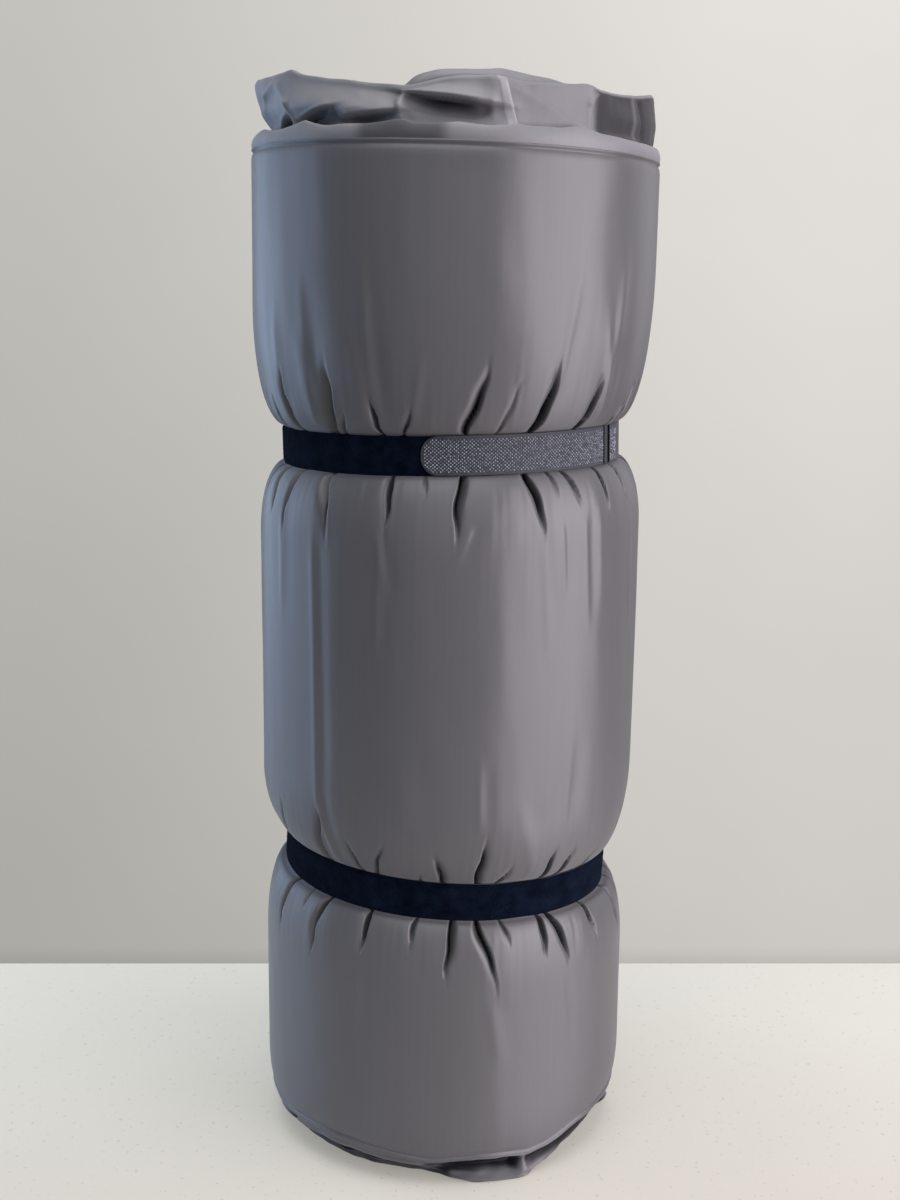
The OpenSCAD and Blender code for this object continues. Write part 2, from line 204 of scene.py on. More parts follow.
# Puckers by strap and side: angle at the strap, lean in degrees over its length, length,
# width (negative where the crisp side is the left one) and depth from 0 to 1, all in mm
puckers = {
    ("strap_1", 1): [
        (-74, 0, 26, 4, 0.7), (-65, -1, 22, 3.5, 0.7), (-55, -1, 42, 4.6, 1.0),
        (-38, 2, 44, 6.5, 1.0), (-34.5, 2, 12, 2.5, 0.8), (-21, -3, 24, 3.2, 0.9),
        (-14.5, 3, 15, 2.2, 0.7), (4.5, 5, 42, 4.6, 1.0), (13, 7, 34, 2.4, 0.16),
        (25, 6, 46, 4.8, 1.0), (43, 4, 34, 3.8, 0.9), (59, 3, 15, 2.8, 0.7), (66, 2, 28, 4, 0.6),
        (78, -1, 30, 4.5, 0.5)],
    ("strap_1", -1): [
        (-75, -1, 30, 4, 0.8), (-65, -1, 34, 3.6, 0.8), (-54.5, -3, 48, 4.4, 1.0),
        (-39, 1, 48, 7.0, 1.0), (-18.6, 1, 38, 4.0, 0.9), (-8, 1, 8, 2.4, 0.4),
        (3, -2, 48, -4.8, 1.1), (24, 3, 44, 4.6, 1.1), (31, 2, 14, 2.4, 0.5), (37, 4, 22, 2.8, 0.7),
        (51, 3, 32, 2.8, 0.7), (63, 2, 24, 3, 0.6), (83, 0, 42, 4, 0.9)],
    ("strap_2", 1): [
        (-76, 2, 26, 4, 0.7), (-64, 4, 40, 3.6, 0.9), (-41, 0, 48, 5.4, 1.0),
        (-27, -5, 26, 3.0, 0.8), (-23, 5, 28, 2.8, 0.7), (-8, 0, 6, 2.2, 0.4),
        (-1, -3, 24, -4.2, 1.0), (10, 1, 38, -3.8, 1.1), (17, 3.5, 15, 2.6, 0.5),
        (33, 2, 28, 2.8, 0.9), (40, 4, 24, 3.0, 0.8), (52, 3, 16, 3, 0.5), (70, 2, 30, 4, 0.7)],
    ("strap_2", -1): [
        (-61, -2, 40, 3.8, 1.0), (-50, 0, 8, 2.2, 0.5), (-41, -5, 44, 4.2, 1.0),
        (-25, -1, 30, 4.0, 1.0), (-9, -2, 18, 3.2, 0.6), (1, 0, 42, -4.2, 1.1),
        (11, 5, 52, 4.4, 1.2), (18, 2.5, 14, 2.6, 0.5), (32, 1, 28, 3.2, 0.8),
        (37, 5, 40, 3.8, 1.0), (53, 3, 26, 2.8, 0.8), (71, 3, 34, 3.4, 0.8), (82, 0, 20, 3, 0.6)],
}

# Long soft ridges: angle and height at each end, width and height of the ridge, in mm
ridges = [
    (-42.5, 429, -41, 268, 3.2, 0.9), (-41, 268, -36, 219, 2.6, 1.0), (-46, 560, -44, 500, 5, 0.9),
    (-27, 552, -25, 500, 5, 0.7), (30, 460, 31, 405, 4, 0.6), (47, 460, 49, 392, 5, 0.6),
    (5.5, 444, 1.5, 424, 2.2, 0.6), (-52, 640, -50, 560, 9, 0.5), (37, 640, 34, 570, 12, 0.4),
    (-12, 252, -14, 300, 8, 0.4), (22, 262, 27, 215, 5, 0.6), (14, 130, 17, 92, 5, 0.5),
    (33, 446, 34, 398, 2.2, 0.45), (41, 446, 43, 384, 2.6, 0.45), (-21, 440, -18, 404, 2.6, 0.5),
    (-8, 546, -11, 508, 2.6, 0.35), (46, 566, 50, 512, 3.0, 0.45), (-57, 572, -56, 520, 4, 0.5),
    (-45, 590, -42, 528, 4, 0.45), (-24, 590, -21.5, 514, 3, 0.5), (34, 592, 29, 522, 3, 0.5),
    (53, 600, 48, 522, 4, 0.6), (-57, 452, -58, 384, 3.6, 0.5), (-20, 428, -21, 366, 3, 0.45),
    (27, 428, 29, 368, 3, 0.45), (66, 440, 67, 372, 3.5, 0.5), (9, 292, 9.5, 250, 3, 0.4),
    (38, 302, 36, 250, 3.5, 0.5), (-27, 148, -28, 108, 3, 0.4), (38, 136, 41, 96, 3, 0.45)]


# The angle from a middle, from -180 to 180
def around(phi, middle):
    return (phi - middle + 180) % 360 - 180


# The seams: how far the upper one rides up, how far the rows beside a seam follow it, and the
# lower one's line, which hangs over the fold in front and rides up at the right, as angle and mm
seams = {
    "middle": 1.2 * mm, "left": 4.6 * mm, "run": 60 * mm,
    "foot": [
        (-180, 0), (-60, 0), (-45, 2.2), (-31, 1.5), (-21, -0.8), (-12, -2.8), (-4, -4.8),
        (3, -3.4), (12, -2.8), (20, -4), (28, -6), (35, -4.4), (46, 1.2), (58, 4), (72, 5), (90, 3),
        (115, 0), (180, 0)],
}


def footShift(phi):
    angle, shift = np.array(seams["foot"]).T
    return np.interp(around(phi, 0), angle, shift) * mm


def seamShift(phi):
    return seams["middle"] - seams["left"] * np.sin(np.radians(phi))


def strapMiddle(key, phi):
    s = straps[key]
    return s["z"] - math.tan(math.radians(s["tilt"])) * (s["waist"] * np.sin(np.radians(phi)))


# Puckers on the back: from and to an angle, how far apart, then the most lean and the ranges of
# length, width and depth; the fine ones lie beside the tape
gathers = {
    "seed": 41,
    "from": 92.0, "to": 262, "apart": (7, 19), "large": (4, (14, 50), (2.6, 5.4), (0.5, 1.1)),
    "fineFrom": 84, "fineTo": 268, "fineCount": 16, "fine": (3, (6, 13), (1.6, 2.6), (0.12, 0.30)),
}


def backPuckers():
    rng = np.random.default_rng(gathers["seed"])

    def pucker(phi, lean, length, width, depth):
        return (phi, rng.uniform(-lean, lean), rng.uniform(*length), rng.uniform(*width), rng.uniform(*depth))
    found = {}
    for key in puckers:
        extra = []
        phi = gathers["from"]
        while phi < gathers["to"]:
            extra.append(pucker(phi, *gathers["large"]))
            phi += rng.uniform(*gathers["apart"])
        for phi in rng.uniform(gathers["fineFrom"], gathers["fineTo"], gathers["fineCount"]):
            extra.append(pucker(phi, *gathers["fine"]))
        found[key] = puckers[key] + extra
    return found


allPuckers = backPuckers()
looseness = unevenness(5, 9, 70 * mm, 230 * mm, 1.8)
finer = unevenness(6, 12, 16 * mm, 50 * mm, 2.2)
drawn = unevenness(7, 14, 5 * mm, 17 * mm, 6.0)


# One pucker at d from the tape: how far it pinches the flank, the dent of its crease, the cloth
# raised beside it, and the shade painted into its colour
def puckerShape(phi, d, phi0, lean, length, width, depth):
    turn = 1 if width > 0 else -1
    length, width = length * mm, abs(width) * cover["puckerWide"] * mm
    t = np.clip(d / length, 0, 1.2)
    sway = min(1.0, length / cover["fullSway"])
    path = phi0 + lean * t + sway * (0.7 * np.sin(5 * t + phi0) + 0.25 * np.sin(13 * t + 2 * phi0))
    s = turn * np.radians(around(phi, path)) * cover["arcR"]
    w = width * (0.75 + 0.9 * t - 0.9 * t * t)
    q = s / w
    fade = np.clip(1 - t, 0, 1) ** 0.9
    across = np.where(q < 0, np.exp(-np.abs(q / 1.15) ** 1.4), np.exp(-np.abs(q / 0.45) ** 2))
    big = depth * min(1.0, length / cover["fullDepth"])
    crease = ease(d / (4 * mm)) * ease((0.9 - t) / 0.5)
    line = np.exp(-((s - 0.1 * w) / cover["creaseWidth"]) ** 2)
    shaded = np.maximum(0.95 * big * ease((0.95 - t) / 0.6) * line ** 0.7, 0.45 * depth * fade * across)
    up = fade * ease(d / (6 * mm)) * big
    crisp, soft = np.exp(-((q - 1.0) / 0.42) ** 2), np.exp(-((q + 2.6) / 1.2) ** 2)
    raised = up * width * (0.20 * crisp + 0.05 * soft)
    return depth * fade * across, big * cover["crease"] * crease * line, raised, shaded


# Radius of the outer turn, and the shade painted into the cloth in its own creases and beside the tapes
def coverShape(phi, z, pinched=0.0):
    base = cover["foot"] + (cover["mid"] - cover["foot"]) * ease((z - cover["midFrom"]) / cover["midBlend"]) \
        + (cover["head"] - cover["mid"]) * ease((z - cover["headFrom"]) / cover["headBlend"])
    base = base + np.zeros_like(phi)
    u = np.radians(phi) * cover["arcR"]
    r = base + cover["loose"] * looseness(u, z) * (1 - pinched)
    dark = np.zeros_like(r)
    for (key, side), (run, power) in cover["flanks"].items():
        past = side * (z - strapMiddle(key, phi))
        d = past - strapHalf
        beside = past > -1e-9
        mask = np.zeros_like(r)
        lift = np.zeros_like(r)
        for pucker in allPuckers[(key, side)]:
            pinch, dent, raised, shaded = puckerShape(phi, d, *pucker)
            mask = np.maximum(mask, pinch)
            lift = lift - dent + raised
            dark = np.maximum(dark, beside * (d > 0) * shaded)
        mask = np.maximum(mask, pinched)
        if pinched == 0:
            away = np.exp(-np.clip(d, 0, 1) / cover["drawnRun"]) * ease(d / (8 * mm))
            lift = lift + cover["drawn"] * away * drawn(u, z)
        stretch = 1 + cover["runUneven"] * (1 - pinched) * looseness(u * 1.7 + side * 0.3, z * 0.2)
        t = np.clip(d / (run * stretch), 0, 1)
        flank = (1 - (1 - t) ** 2) ** (power + cover["puckerPower"] * mask)
        waist = straps[key]["waist"]
        r = np.where(beside, r - (base - waist) * (1 - flank) + lift * (1 - pinched) * (d > 0), r)
        r = np.where(beside & (d <= 0), waist, r)
        # painted shade along the tape's edge
        byTape = np.exp(-(d / cover["tapeShadeRun"]) ** 2)
        dark = np.maximum(dark, cover["tapeShade"] * beside * (d > 0) * byTape)
    return r, np.clip(dark, 0, 1)


# The cloth's soft unevenness and its long ridges
def softDetail(phi, z):
    detail = cover["detail"] * finer(np.radians(phi) * cover["arcR"], z)
    for phiA, zA, phiB, zB, width, height in ridges:
        width = width * mm
        f = np.clip((z - zA * mm) / ((zB - zA) * mm), -0.15, 1.15)
        s = np.radians(around(phi, phiA + (phiB - phiA) * f)) * cover["ridgeR"]
        ends = ease((f + 0.15) / 0.3) * ease((1.15 - f) / 0.3)
        ridge = np.exp(-(s / width) ** 2) - 0.6 * np.exp(-((s - 2.2 * width) / (1.6 * width)) ** 2)
        detail = detail + height * mm * ends * ridge
    return detail


# The outer turn with its seams; pinched is 1 for the inner turns, which have no puckers
def coverR(phi, z, pinched=0.0):
    phi, z = np.broadcast_arrays(np.asarray(phi, dtype=float), np.asarray(z, dtype=float))
    topZ = roll["highZ"] + seamShift(phi)
    footZ = roll["lowZ"] + footShift(phi)
    clear = 1 - pinched
    for key in straps:
        clear = clear * ease((np.abs(z - strapMiddle(key, phi)) - strapHalf) / cover["clearOfTape"])
    r = coverShape(phi, z, pinched)[0] + softDetail(phi, z) * clear
    fromFoot = np.clip((z - footZ) / cover["footRun"], 0, 1)
    fromHead = np.clip((topZ - z) / cover["headRun"], 0, 1)
    r = r - cover["footTuck"] * (1 - fromFoot) ** 2 - cover["headTuck"] * (1 - fromHead) ** 2
    for seam, side in ((topZ, -1), (footZ, 1)):
        bead, dip = [height * np.exp(-((side * (z - seam) - at) / wide) ** 2)
                     for height, at, wide in (cover["bead"], cover["dip"])]
        r = r + (bead - dip) * (1 - pinched)
    faint = np.exp(-((z - cover["faintZ"]) / cover["faintWide"]) ** 2) * ease((60 - np.abs(phi)) / 30)
    return r - cover["faint"] * faint * (1 - pinched)


# The inner turns' share of their laid-out radius, pressed in behind the valves
def innerScale(phi, z):
    r = coverR(phi, z, 1.0)
    for valve in valves.values():
        away = np.hypot(np.radians(around(phi, 180)) * roll["laidOutR"], z - valve["z"])
        r = r - port["press"] * np.exp(-(away / port["pressReach"]) ** 2)
    return r / roll["laidOutR"]


# Rows of the cover: they follow a strap's tilt within "follow", and are level beyond "levelOut"
# more. The steps between them, by distance from a tape and from a seam
rowSteps = {
    "follow": 20 * mm, "levelOut": 50 * mm,
    "overTape": 1.6 * mm, "besideTape": 5 * mm, "underTapeStep": 4 * mm,
    "nearTape": 40 * mm, "farFromTape": 66 * mm, "farShare": 1.7,
    "atSeam": 5 * mm, "nearSeam": 14 * mm, "nearSeamStep": 2.4 * mm,
}


# Heights of the rows: along the tape beside a strap, along the seams at the ends
def rowHeights(phi, z):
    z0 = z + 0 * phi
    out = z0 + seamShift(phi) * ease((z0 - roll["highZ"] + seams["run"]) / seams["run"])
    out = out + footShift(phi) * ease((roll["lowZ"] + seams["run"] - z0) / seams["run"])
    for key, s in straps.items():
        near = 1 - ease((np.abs(z0 - s["z"]) - rowSteps["follow"]) / rowSteps["levelOut"])
        out = out + (strapMiddle(key, phi) - s["z"]) * near
    return out


# Radius of the coil at n and z: the outer turn has its own shape, the rest is drawn in evenly
def turnR(n, z):
    phi = coilPhi(n)
    inner = coilR(n) * innerScale(phi, z)
    if np.min(n) > 1.001:
        return inner
    f = ease((n - 0.93) / 0.07)
    return (coverR(phi, z) - turnDrop(n)) * (1 - f) + inner * f


# Level heights of the rows, closest beside the straps and at the seams
def heights(beside, near, coarse, ends):
    z, out = roll["lowZ"], []
    while z < roll["highZ"] - 0.5 * ends:
        out.append(z)
        edge = min(z - roll["lowZ"], roll["highZ"] - z)
        step = coarse
        for s in straps.values():
            d = abs(z + 0.5 * beside - s["z"]) - strapHalf
            if -rowSteps["overTape"] < d < rowSteps["besideTape"]:
                step = min(step, beside)
            elif d < 0:
                step = min(step, rowSteps["underTapeStep"])
            elif d < rowSteps["nearTape"]:
                step = min(step, near)
            elif d < rowSteps["farFromTape"]:
                step = min(step, rowSteps["farShare"] * near)
        if edge < rowSteps["atSeam"]:
            step = ends
        elif edge < rowSteps["nearSeam"]:
            step = min(step, rowSteps["nearSeamStep"])
        z += step
    return np.array(out + [roll["highZ"]])


# Links a socket to another node's output, or sets its plain value
def fill(tree, socket, value):
    if isinstance(value, bpy.types.NodeSocket):
        tree.links.new(value, socket)
    else:
        socket.default_value = value


def put(tree, kind, values=None, **settings):
    made = tree.nodes.new(kind)
    for key, value in settings.items():
        setattr(made, key, value)
    for socket, value in (values or {}).items():
        fill(tree, made.inputs[socket], value)
    return made


def sums(tree, operation, a, b=0.0, c=0.0):
    return put(tree, "ShaderNodeMath", {0: a, 1: b, 2: c}, operation=operation).outputs[0]


def newGroup(name, inputs, outputs):
    tree = bpy.data.node_groups.new(name, "ShaderNodeTree")
    for label, kind, value in inputs:
        socket = tree.interface.new_socket(label, in_out="INPUT", socket_type="NodeSocket" + kind)
        if value is not None:
            socket.default_value = value
    for label, kind in outputs:
        tree.interface.new_socket(label, in_out="OUTPUT", socket_type="NodeSocket" + kind)
    return tree, tree.nodes.new("NodeGroupInput").outputs, tree.nodes.new("NodeGroupOutput")


# Plain weave: threads per metre each way, as a height and a mask of the warp threads
def makeWeave():
    tree, given, out = newGroup(
        "plainWeave", [("Vector", "Vector", None), ("Warp", "Float", 3000.0), ("Weft", "Float", 3000.0)],
        [("Height", "Float"), ("Warp Mask", "Float")])
    apart = put(tree, "ShaderNodeSeparateXYZ", {0: given["Vector"]}).outputs
    x = sums(tree, "MULTIPLY", apart[0], sums(tree, "MULTIPLY", given["Warp"], math.pi))
    y = sums(tree, "MULTIPLY", apart[1], sums(tree, "MULTIPLY", given["Weft"], math.pi))
    crossing = sums(tree, "MULTIPLY", sums(tree, "COSINE", x), sums(tree, "COSINE", y))
    over = sums(tree, "MULTIPLY_ADD", crossing, 0.5, 0.5)
    warp = sums(tree, "MULTIPLY", sums(tree, "ABSOLUTE", sums(tree, "SINE", x)), over)
    under = sums(tree, "SUBTRACT", 1.0, over)
    weft = sums(tree, "MULTIPLY", sums(tree, "ABSOLUTE", sums(tree, "SINE", y)), under)
    tree.links.new(sums(tree, "MAXIMUM", warp, weft), out.inputs["Height"])
    tree.links.new(over, out.inputs["Warp Mask"])
    return tree


# Cloudy unevenness from 0 to 1, drawn out along the cloth's length by Stretch
def makeMottle():
    tree, given, out = newGroup(
        "mottle", [("Vector", "Vector", None), ("Size", "Float", 20.0), ("Stretch", "Float", 1.0),
                   ("Detail", "Float", 3.0), ("Contrast", "Float", 1.0)], [("Value", "Float")])
    narrowed = sums(tree, "DIVIDE", 1.0, given["Stretch"])
    wide = put(tree, "ShaderNodeCombineXYZ", {0: 1.0, 1: narrowed, 2: 1.0}).outputs[0]
    moved = put(tree, "ShaderNodeVectorMath", {0: given["Vector"], 1: wide}, operation="MULTIPLY").outputs[0]
    noise = put(tree, "ShaderNodeTexNoise", {
        "Vector": moved, "Scale": given["Size"], "Detail": given["Detail"], "Roughness": 0.55}).outputs[0]
    contrast = sums(tree, "MULTIPLY", given["Contrast"], 2.0)
    pushed = sums(tree, "MULTIPLY_ADD", sums(tree, "SUBTRACT", noise, 0.5), contrast, 0.5)
    tree.links.new(put(tree, "ShaderNodeClamp", {0: pushed}).outputs[0], out.inputs["Value"])
    return tree


weave = makeWeave()
mottle = makeMottle()


def placed(tree, group, values):
    return put(tree, "ShaderNodeGroup", values, node_tree=group).outputs


def cloudy(tree, place, size, stretch=1.0, detail=3.0, contrast=1.0):
    values = {"Vector": place, "Size": size, "Stretch": stretch, "Detail": detail, "Contrast": contrast}
    return placed(tree, mottle, values)["Value"]


def clothPlace(tree):
    return put(tree, "ShaderNodeUVMap", uv_map="cloth").outputs[0]


def objectPlace(tree):
    return put(tree, "ShaderNodeTexCoord").outputs["Object"]


def blendColours(tree, factor, a, b):
    a, b = [v if isinstance(v, bpy.types.NodeSocket) else (*v, 1) for v in (a, b)]
    return put(tree, "ShaderNodeMix", {0: factor, 6: a, 7: b}, data_type="RGBA").outputs[2]


# From start to finish the value goes from low to high
def ranged(tree, value, low, high, start=0.0, finish=1.0, smooth=False):
    return put(tree, "ShaderNodeMapRange", {0: value, 1: start, 2: finish, 3: low, 4: high},
               interpolation_type="SMOOTHSTEP" if smooth else "LINEAR").outputs[0]


def newMaterial(name, **plain):
    material = bpy.data.materials.new(name)
    material.use_nodes = True
    tree = material.node_tree
    shader = tree.nodes["Principled BSDF"]
    for socket, value in plain.items():
        shader.inputs[socket.replace("_", " ")].default_value = value
    return material, tree, shader


def feed(tree, shader, **varying):
    for socket, value in varying.items():
        tree.links.new(value, shader.inputs[socket.replace("_", " ")])


def bumped(tree, shader, strength, distance, height):
    values = {"Strength": strength, "Distance": distance, "Height": height}
    feed(tree, shader, Normal=put(tree, "ShaderNodeBump", values).outputs[0])


# The satin's colours; paintedShadeColour is painted shade for the deep creases
satin = {"dark": (0.150, 0.148, 0.158), "light": (0.180, 0.178, 0.190), "underThread": (0.02, 0.02, 0.02),
         "paintedShadeColour": (0.008, 0.008, 0.011), "threads": 2400.0, "weaveBump": 0.00002}


def satinCloth(name, tone=1.0, rough=(0.43, 0.49), crinkled=1.0, shine=1.0):
    material, tree, shader = newMaterial(
        name, Sheen_Weight=0.25, Sheen_Roughness=0.45, Anisotropic=0.8 * shine, Anisotropic_Rotation=0.25,
        Specular_IOR_Level=0.9 * shine)
    cloth = clothPlace(tree)
    threads = placed(tree, weave, {"Vector": cloth, "Warp": satin["threads"], "Weft": satin["threads"] * 0.8})
    clouds = cloudy(tree, cloth, 9.0, stretch=2.5, contrast=1.3)
    streaks = cloudy(tree, cloth, 420.0, stretch=60.0, detail=2.0, contrast=1.5)
    mix = sums(tree, "MULTIPLY_ADD", streaks, 0.24, sums(tree, "MULTIPLY", clouds, 0.76))
    dark, light = [tuple(c * tone for c in satin[k]) for k in ("dark", "light")]
    colour = blendColours(tree, mix, dark, light)
    colour = blendColours(tree, ranged(tree, threads["Warp Mask"], 0.0, 0.10), colour, satin["underThread"])
    # painted shade: the shade attribute darkens the base colour towards the painted shade colour, and raises
    # roughness and metallic so that shaded creases lose their gloss
    shade = put(tree, "ShaderNodeAttribute", attribute_name="shade").outputs["Fac"]
    feed(tree, shader, Base_Color=blendColours(tree, shade, colour, satin["paintedShadeColour"]),
         Roughness=sums(tree, "MULTIPLY_ADD", shade, 0.4, ranged(tree, mix, *rough)),
         Metallic=ranged(tree, shade, 0.30 * shine, 0.92))
    crinkle = cloudy(tree, cloth, 130.0, stretch=1.4, detail=4.0)
    height = sums(tree, "MULTIPLY_ADD", crinkle, 6.0 * crinkled, threads["Height"])
    bumped(tree, shader, 0.35, satin["weaveBump"], height)
    return material


coverCloth = satinCloth("satinCover")
wallCloth = satinCloth("satinWall", 1.08, (0.46, 0.54), 1.3)
# painted light: a copy of the cover's satin, 1.75 times as light and with less gloss, for the lit top of the
# roll
paintedLightTopCloth = satinCloth("satinTopPaintedLight", 1.75, (0.50, 0.58), 1.3, 0.6)
print("materials: cloth ready")


# The outer cover's mesh: degrees between columns, and heights between rows
coverGrid = {"front": 0.34, "side": 0.8, "back": 2.0, "inner": 5.0, "skip": 4,
             "beside": 1.0 * mm, "near": 3.0 * mm, "coarse": 9 * mm, "edge": 0.7 * mm}


# Angles down from start, each stop with the step that leads to it
def stepsOf(start, stops):
    out, phi = [], start
    for end, step in stops:
        count = max(1, round((phi - end) / step))
        out += [phi - (phi - end) * i / count for i in range(count)]
        phi = end
    return np.array(out + [phi])


def fromPhi(phi):
    return (roll["endPhi"] - phi) / 360


# The cloth lies on a flat around each valve, with a hole for its collar
def seatValves(points):
    hole = np.zeros(points.shape[:2], dtype=bool)
    for valve in valves.values():
        dx = points[..., 0] - leanX(valve["z"])
        dz = points[..., 2] - valve["z"]
        away = np.hypot(dx, dz)
        behind = points[..., 1] > 0
        flat = ease((port["flat"] - away) / port["flatRun"]) * behind
        points[..., 1] = points[..., 1] * (1 - flat) + (valve["y"] + port["proud"]) * flat
        hole |= behind & (away < port["hole"])
        snap = behind & (away < port["hole"] + port["snap"]) & (away > 1e-6)
        grow = np.where(snap, np.maximum(away, port["hole"]) / np.maximum(away, 1e-6), 1.0)
        points[..., 0] = leanX(valve["z"]) + dx * grow
        points[..., 2] = valve["z"] + dz * grow
    return ~(hole[:-1, :-1] & hole[1:, :-1] & hole[:-1, 1:] & hole[1:, 1:])


def buildOuterCover():
    grid = coverGrid
    z = heights(grid["beside"], grid["near"], grid["coarse"], grid["edge"])
    phi = stepsOf(roll["endPhi"], [(96, grid["back"]), (70, grid["side"]), (-72, grid["front"]),
                                   (-90, grid["side"]), (roll["endPhi"] - 360, grid["back"])])
    nFirst = fromPhi(phi)
    nInner = np.arange(1, 1 + 360 * (roll["turns"] - 1) / grid["inner"]) * grid["inner"] / 360 + 1
    picked = list(range(0, len(z) - 1, grid["skip"])) + [len(z) - 1]

    def rowsOf(n, z):
        z = rowHeights(coilPhi(n)[None, :], z[:, None])
        return z, spot(coilPhi(n)[None, :], turnR(n[None, :], z), z)
    zFirst, first = rowsOf(nFirst, z)
    zInner, inner = rowsOf(nInner, z[picked])
    faces = gridFaces(*first.shape[:2], flip=True, keep=seatValves(first))
    start, wide, narrow = first.shape[0] * first.shape[1], first.shape[1], inner.shape[1]
    faces += gridFaces(*inner.shape[:2], flip=True, start=start)
    # one face joins the outer turn's close rows to each of the next turn's wide ones
    for i in range(len(picked) - 1):
        edge = [k * wide + wide - 1 for k in range(picked[i], picked[i + 1] + 1)]
        faces.append(edge + [start + (i + 1) * narrow, start + i * narrow])
    points = np.concatenate([first.reshape(-1, 3), inner.reshape(-1, 3)])
    n = np.concatenate([np.tile(nFirst, len(z)), np.tile(nInner, len(picked))])
    uv = np.stack([coilArc(n), np.concatenate([zFirst.ravel(), zInner.ravel()])], axis=-1)
    # painted shade of the creases and beside the tapes
    dark = coverShape(coilPhi(nFirst)[None, :] + 0 * zFirst, zFirst)[1]
    shade = np.concatenate([dark.ravel(), np.zeros(zInner.size)])
    piece = pieceFrom("outerCover", points, faces, uv, coverCloth, shade)
    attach(piece, "roll")
    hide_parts("outer_cover")
    print("outer cover:", sum(len(face) - 2 for face in faces), "triangles")


buildOuterCover()


# Inner cover and foam, drawn in under the outer turn, with pockets in the foam behind the valves
inside = {
    "stepPhi": 4.0, "rows": 64, "underTurn": 2.2 * mm, "thinnest": 1.5 * mm,
    "pockets": (22 * mm, 21.5 * mm), "pocketFrom": 12 * mm, "pocketReach": 24 * mm, "pocketWall": 0.8 * mm,
}


def foamMaterial():
    material, tree, shader = newMaterial("foamCream", Roughness=0.9)
    place = objectPlace(tree)
    pores = put(tree, "ShaderNodeTexVoronoi", {"Vector": place, "Scale": 900.0}).outputs[0]
    aged = cloudy(tree, place, 14.0)
    feed(tree, shader, Base_Color=blendColours(tree, aged, (0.70, 0.64, 0.48), (0.78, 0.74, 0.62)))
    bumped(tree, shader, 0.8, 0.0004, pores)
    return material


# Radius of the layer's other face, just outside the next turn
def layerBottomR(n):
    return coilR(n + 1) + roll["gap"]


def insideGrid():
    n = np.arange(0, 360 * roll["turns"] / inside["stepPhi"] + 1) * inside["stepPhi"] / 360
    z = np.linspace(roll["lowZ"], roll["highZ"], inside["rows"])
    phi = coilPhi(n)[None, :]
    return n, phi, rowHeights(phi, z[:, None])


def buildInnerCover():
    n, phi, z = insideGrid()
    points = spot(phi, layerBottomR(n)[None, :] * innerScale(phi, z), z)
    uv = np.stack(np.broadcast_arrays(coilArc(n)[None, :], z), axis=-1)
    piece = gridPiece("innerCover", points, uv, coverCloth)
    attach(piece, "roll")
    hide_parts("inner_cover")


def buildFoam():
    n, phi, z = insideGrid()
    scale = innerScale(phi, z)
    outer = coilR(n)[None, :] * scale - roll["skin"] - inside["underTurn"] * ease((0.99 - n) / 0.05)[None, :]
    inner = layerBottomR(n)[None, :] * scale + roll["skin"]
    outer = np.maximum(outer, inner + inside["thinnest"])
    shell = [spot(phi, outer + (inner - outer) * f, z) for f in (0, 0.04, 0.5, 0.96, 1)]
    for valve in valves.values():
        for points, deep in zip(shell, inside["pockets"]):
            away = np.hypot(points[..., 0] - leanX(valve["z"]), points[..., 2] - valve["z"])
            near = (points[..., 1] > valve["y"] - inside["pocketFrom"]) & (away < inside["pocketReach"])
            floor = np.maximum(valve["y"] - deep, shell[-1][..., 1] + inside["pocketWall"])
            points[..., 1] = np.where(near, floor, points[..., 1])
    ring = np.stack(shell)            # layer, row, column
    index = np.arange(ring[..., 0].size).reshape(ring.shape[:3])
    faces = []
    for sheet, flip in (
            (index[0], True), (index[-1], False), (index[:, 0, :], False), (index[:, -1, :], True),
            (index[:, :, 0], True), (index[:, :, -1], False)):
        for i in range(sheet.shape[0] - 1):
            for j in range(sheet.shape[1] - 1):
                quad = (sheet[i, j], sheet[i, j + 1], sheet[i + 1, j + 1], sheet[i + 1, j])
                faces.append(tuple(int(v) for v in (quad[::-1] if flip else quad)))
    used = sorted({v for face in faces for v in face})
    renumber = {v: i for i, v in enumerate(used)}
    faces = [tuple(renumber[v] for v in face) for face in faces]
    piece = pieceFrom("foamCore", ring.reshape(-1, 3)[used], faces, None, foamMaterial())
    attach(piece, "roll")
    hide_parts("foam_core")


buildInnerCover()
buildFoam()
print("inner cover and foam built")


# A curve through the control points, the same number of samples in every column
def throughPoints(controls, samples):
    before, after = 2 * controls[:1] - controls[1:2], 2 * controls[-1:] - controls[-2:-1]
    controls = np.concatenate([before, controls, after])
    spans = len(controls) - 3
    t = np.linspace(0, spans - 1e-9, samples)
    i = t.astype(int)
    f = (t - i)[:, None, None]
    a, b, c, d = (controls[i + k] for k in range(4))
    return 0.5 * (2 * b + (c - a) * f + (2 * a - 5 * b + 4 * c - d) * f ** 2
                  + (3 * b - a - 3 * c + d) * f ** 3)


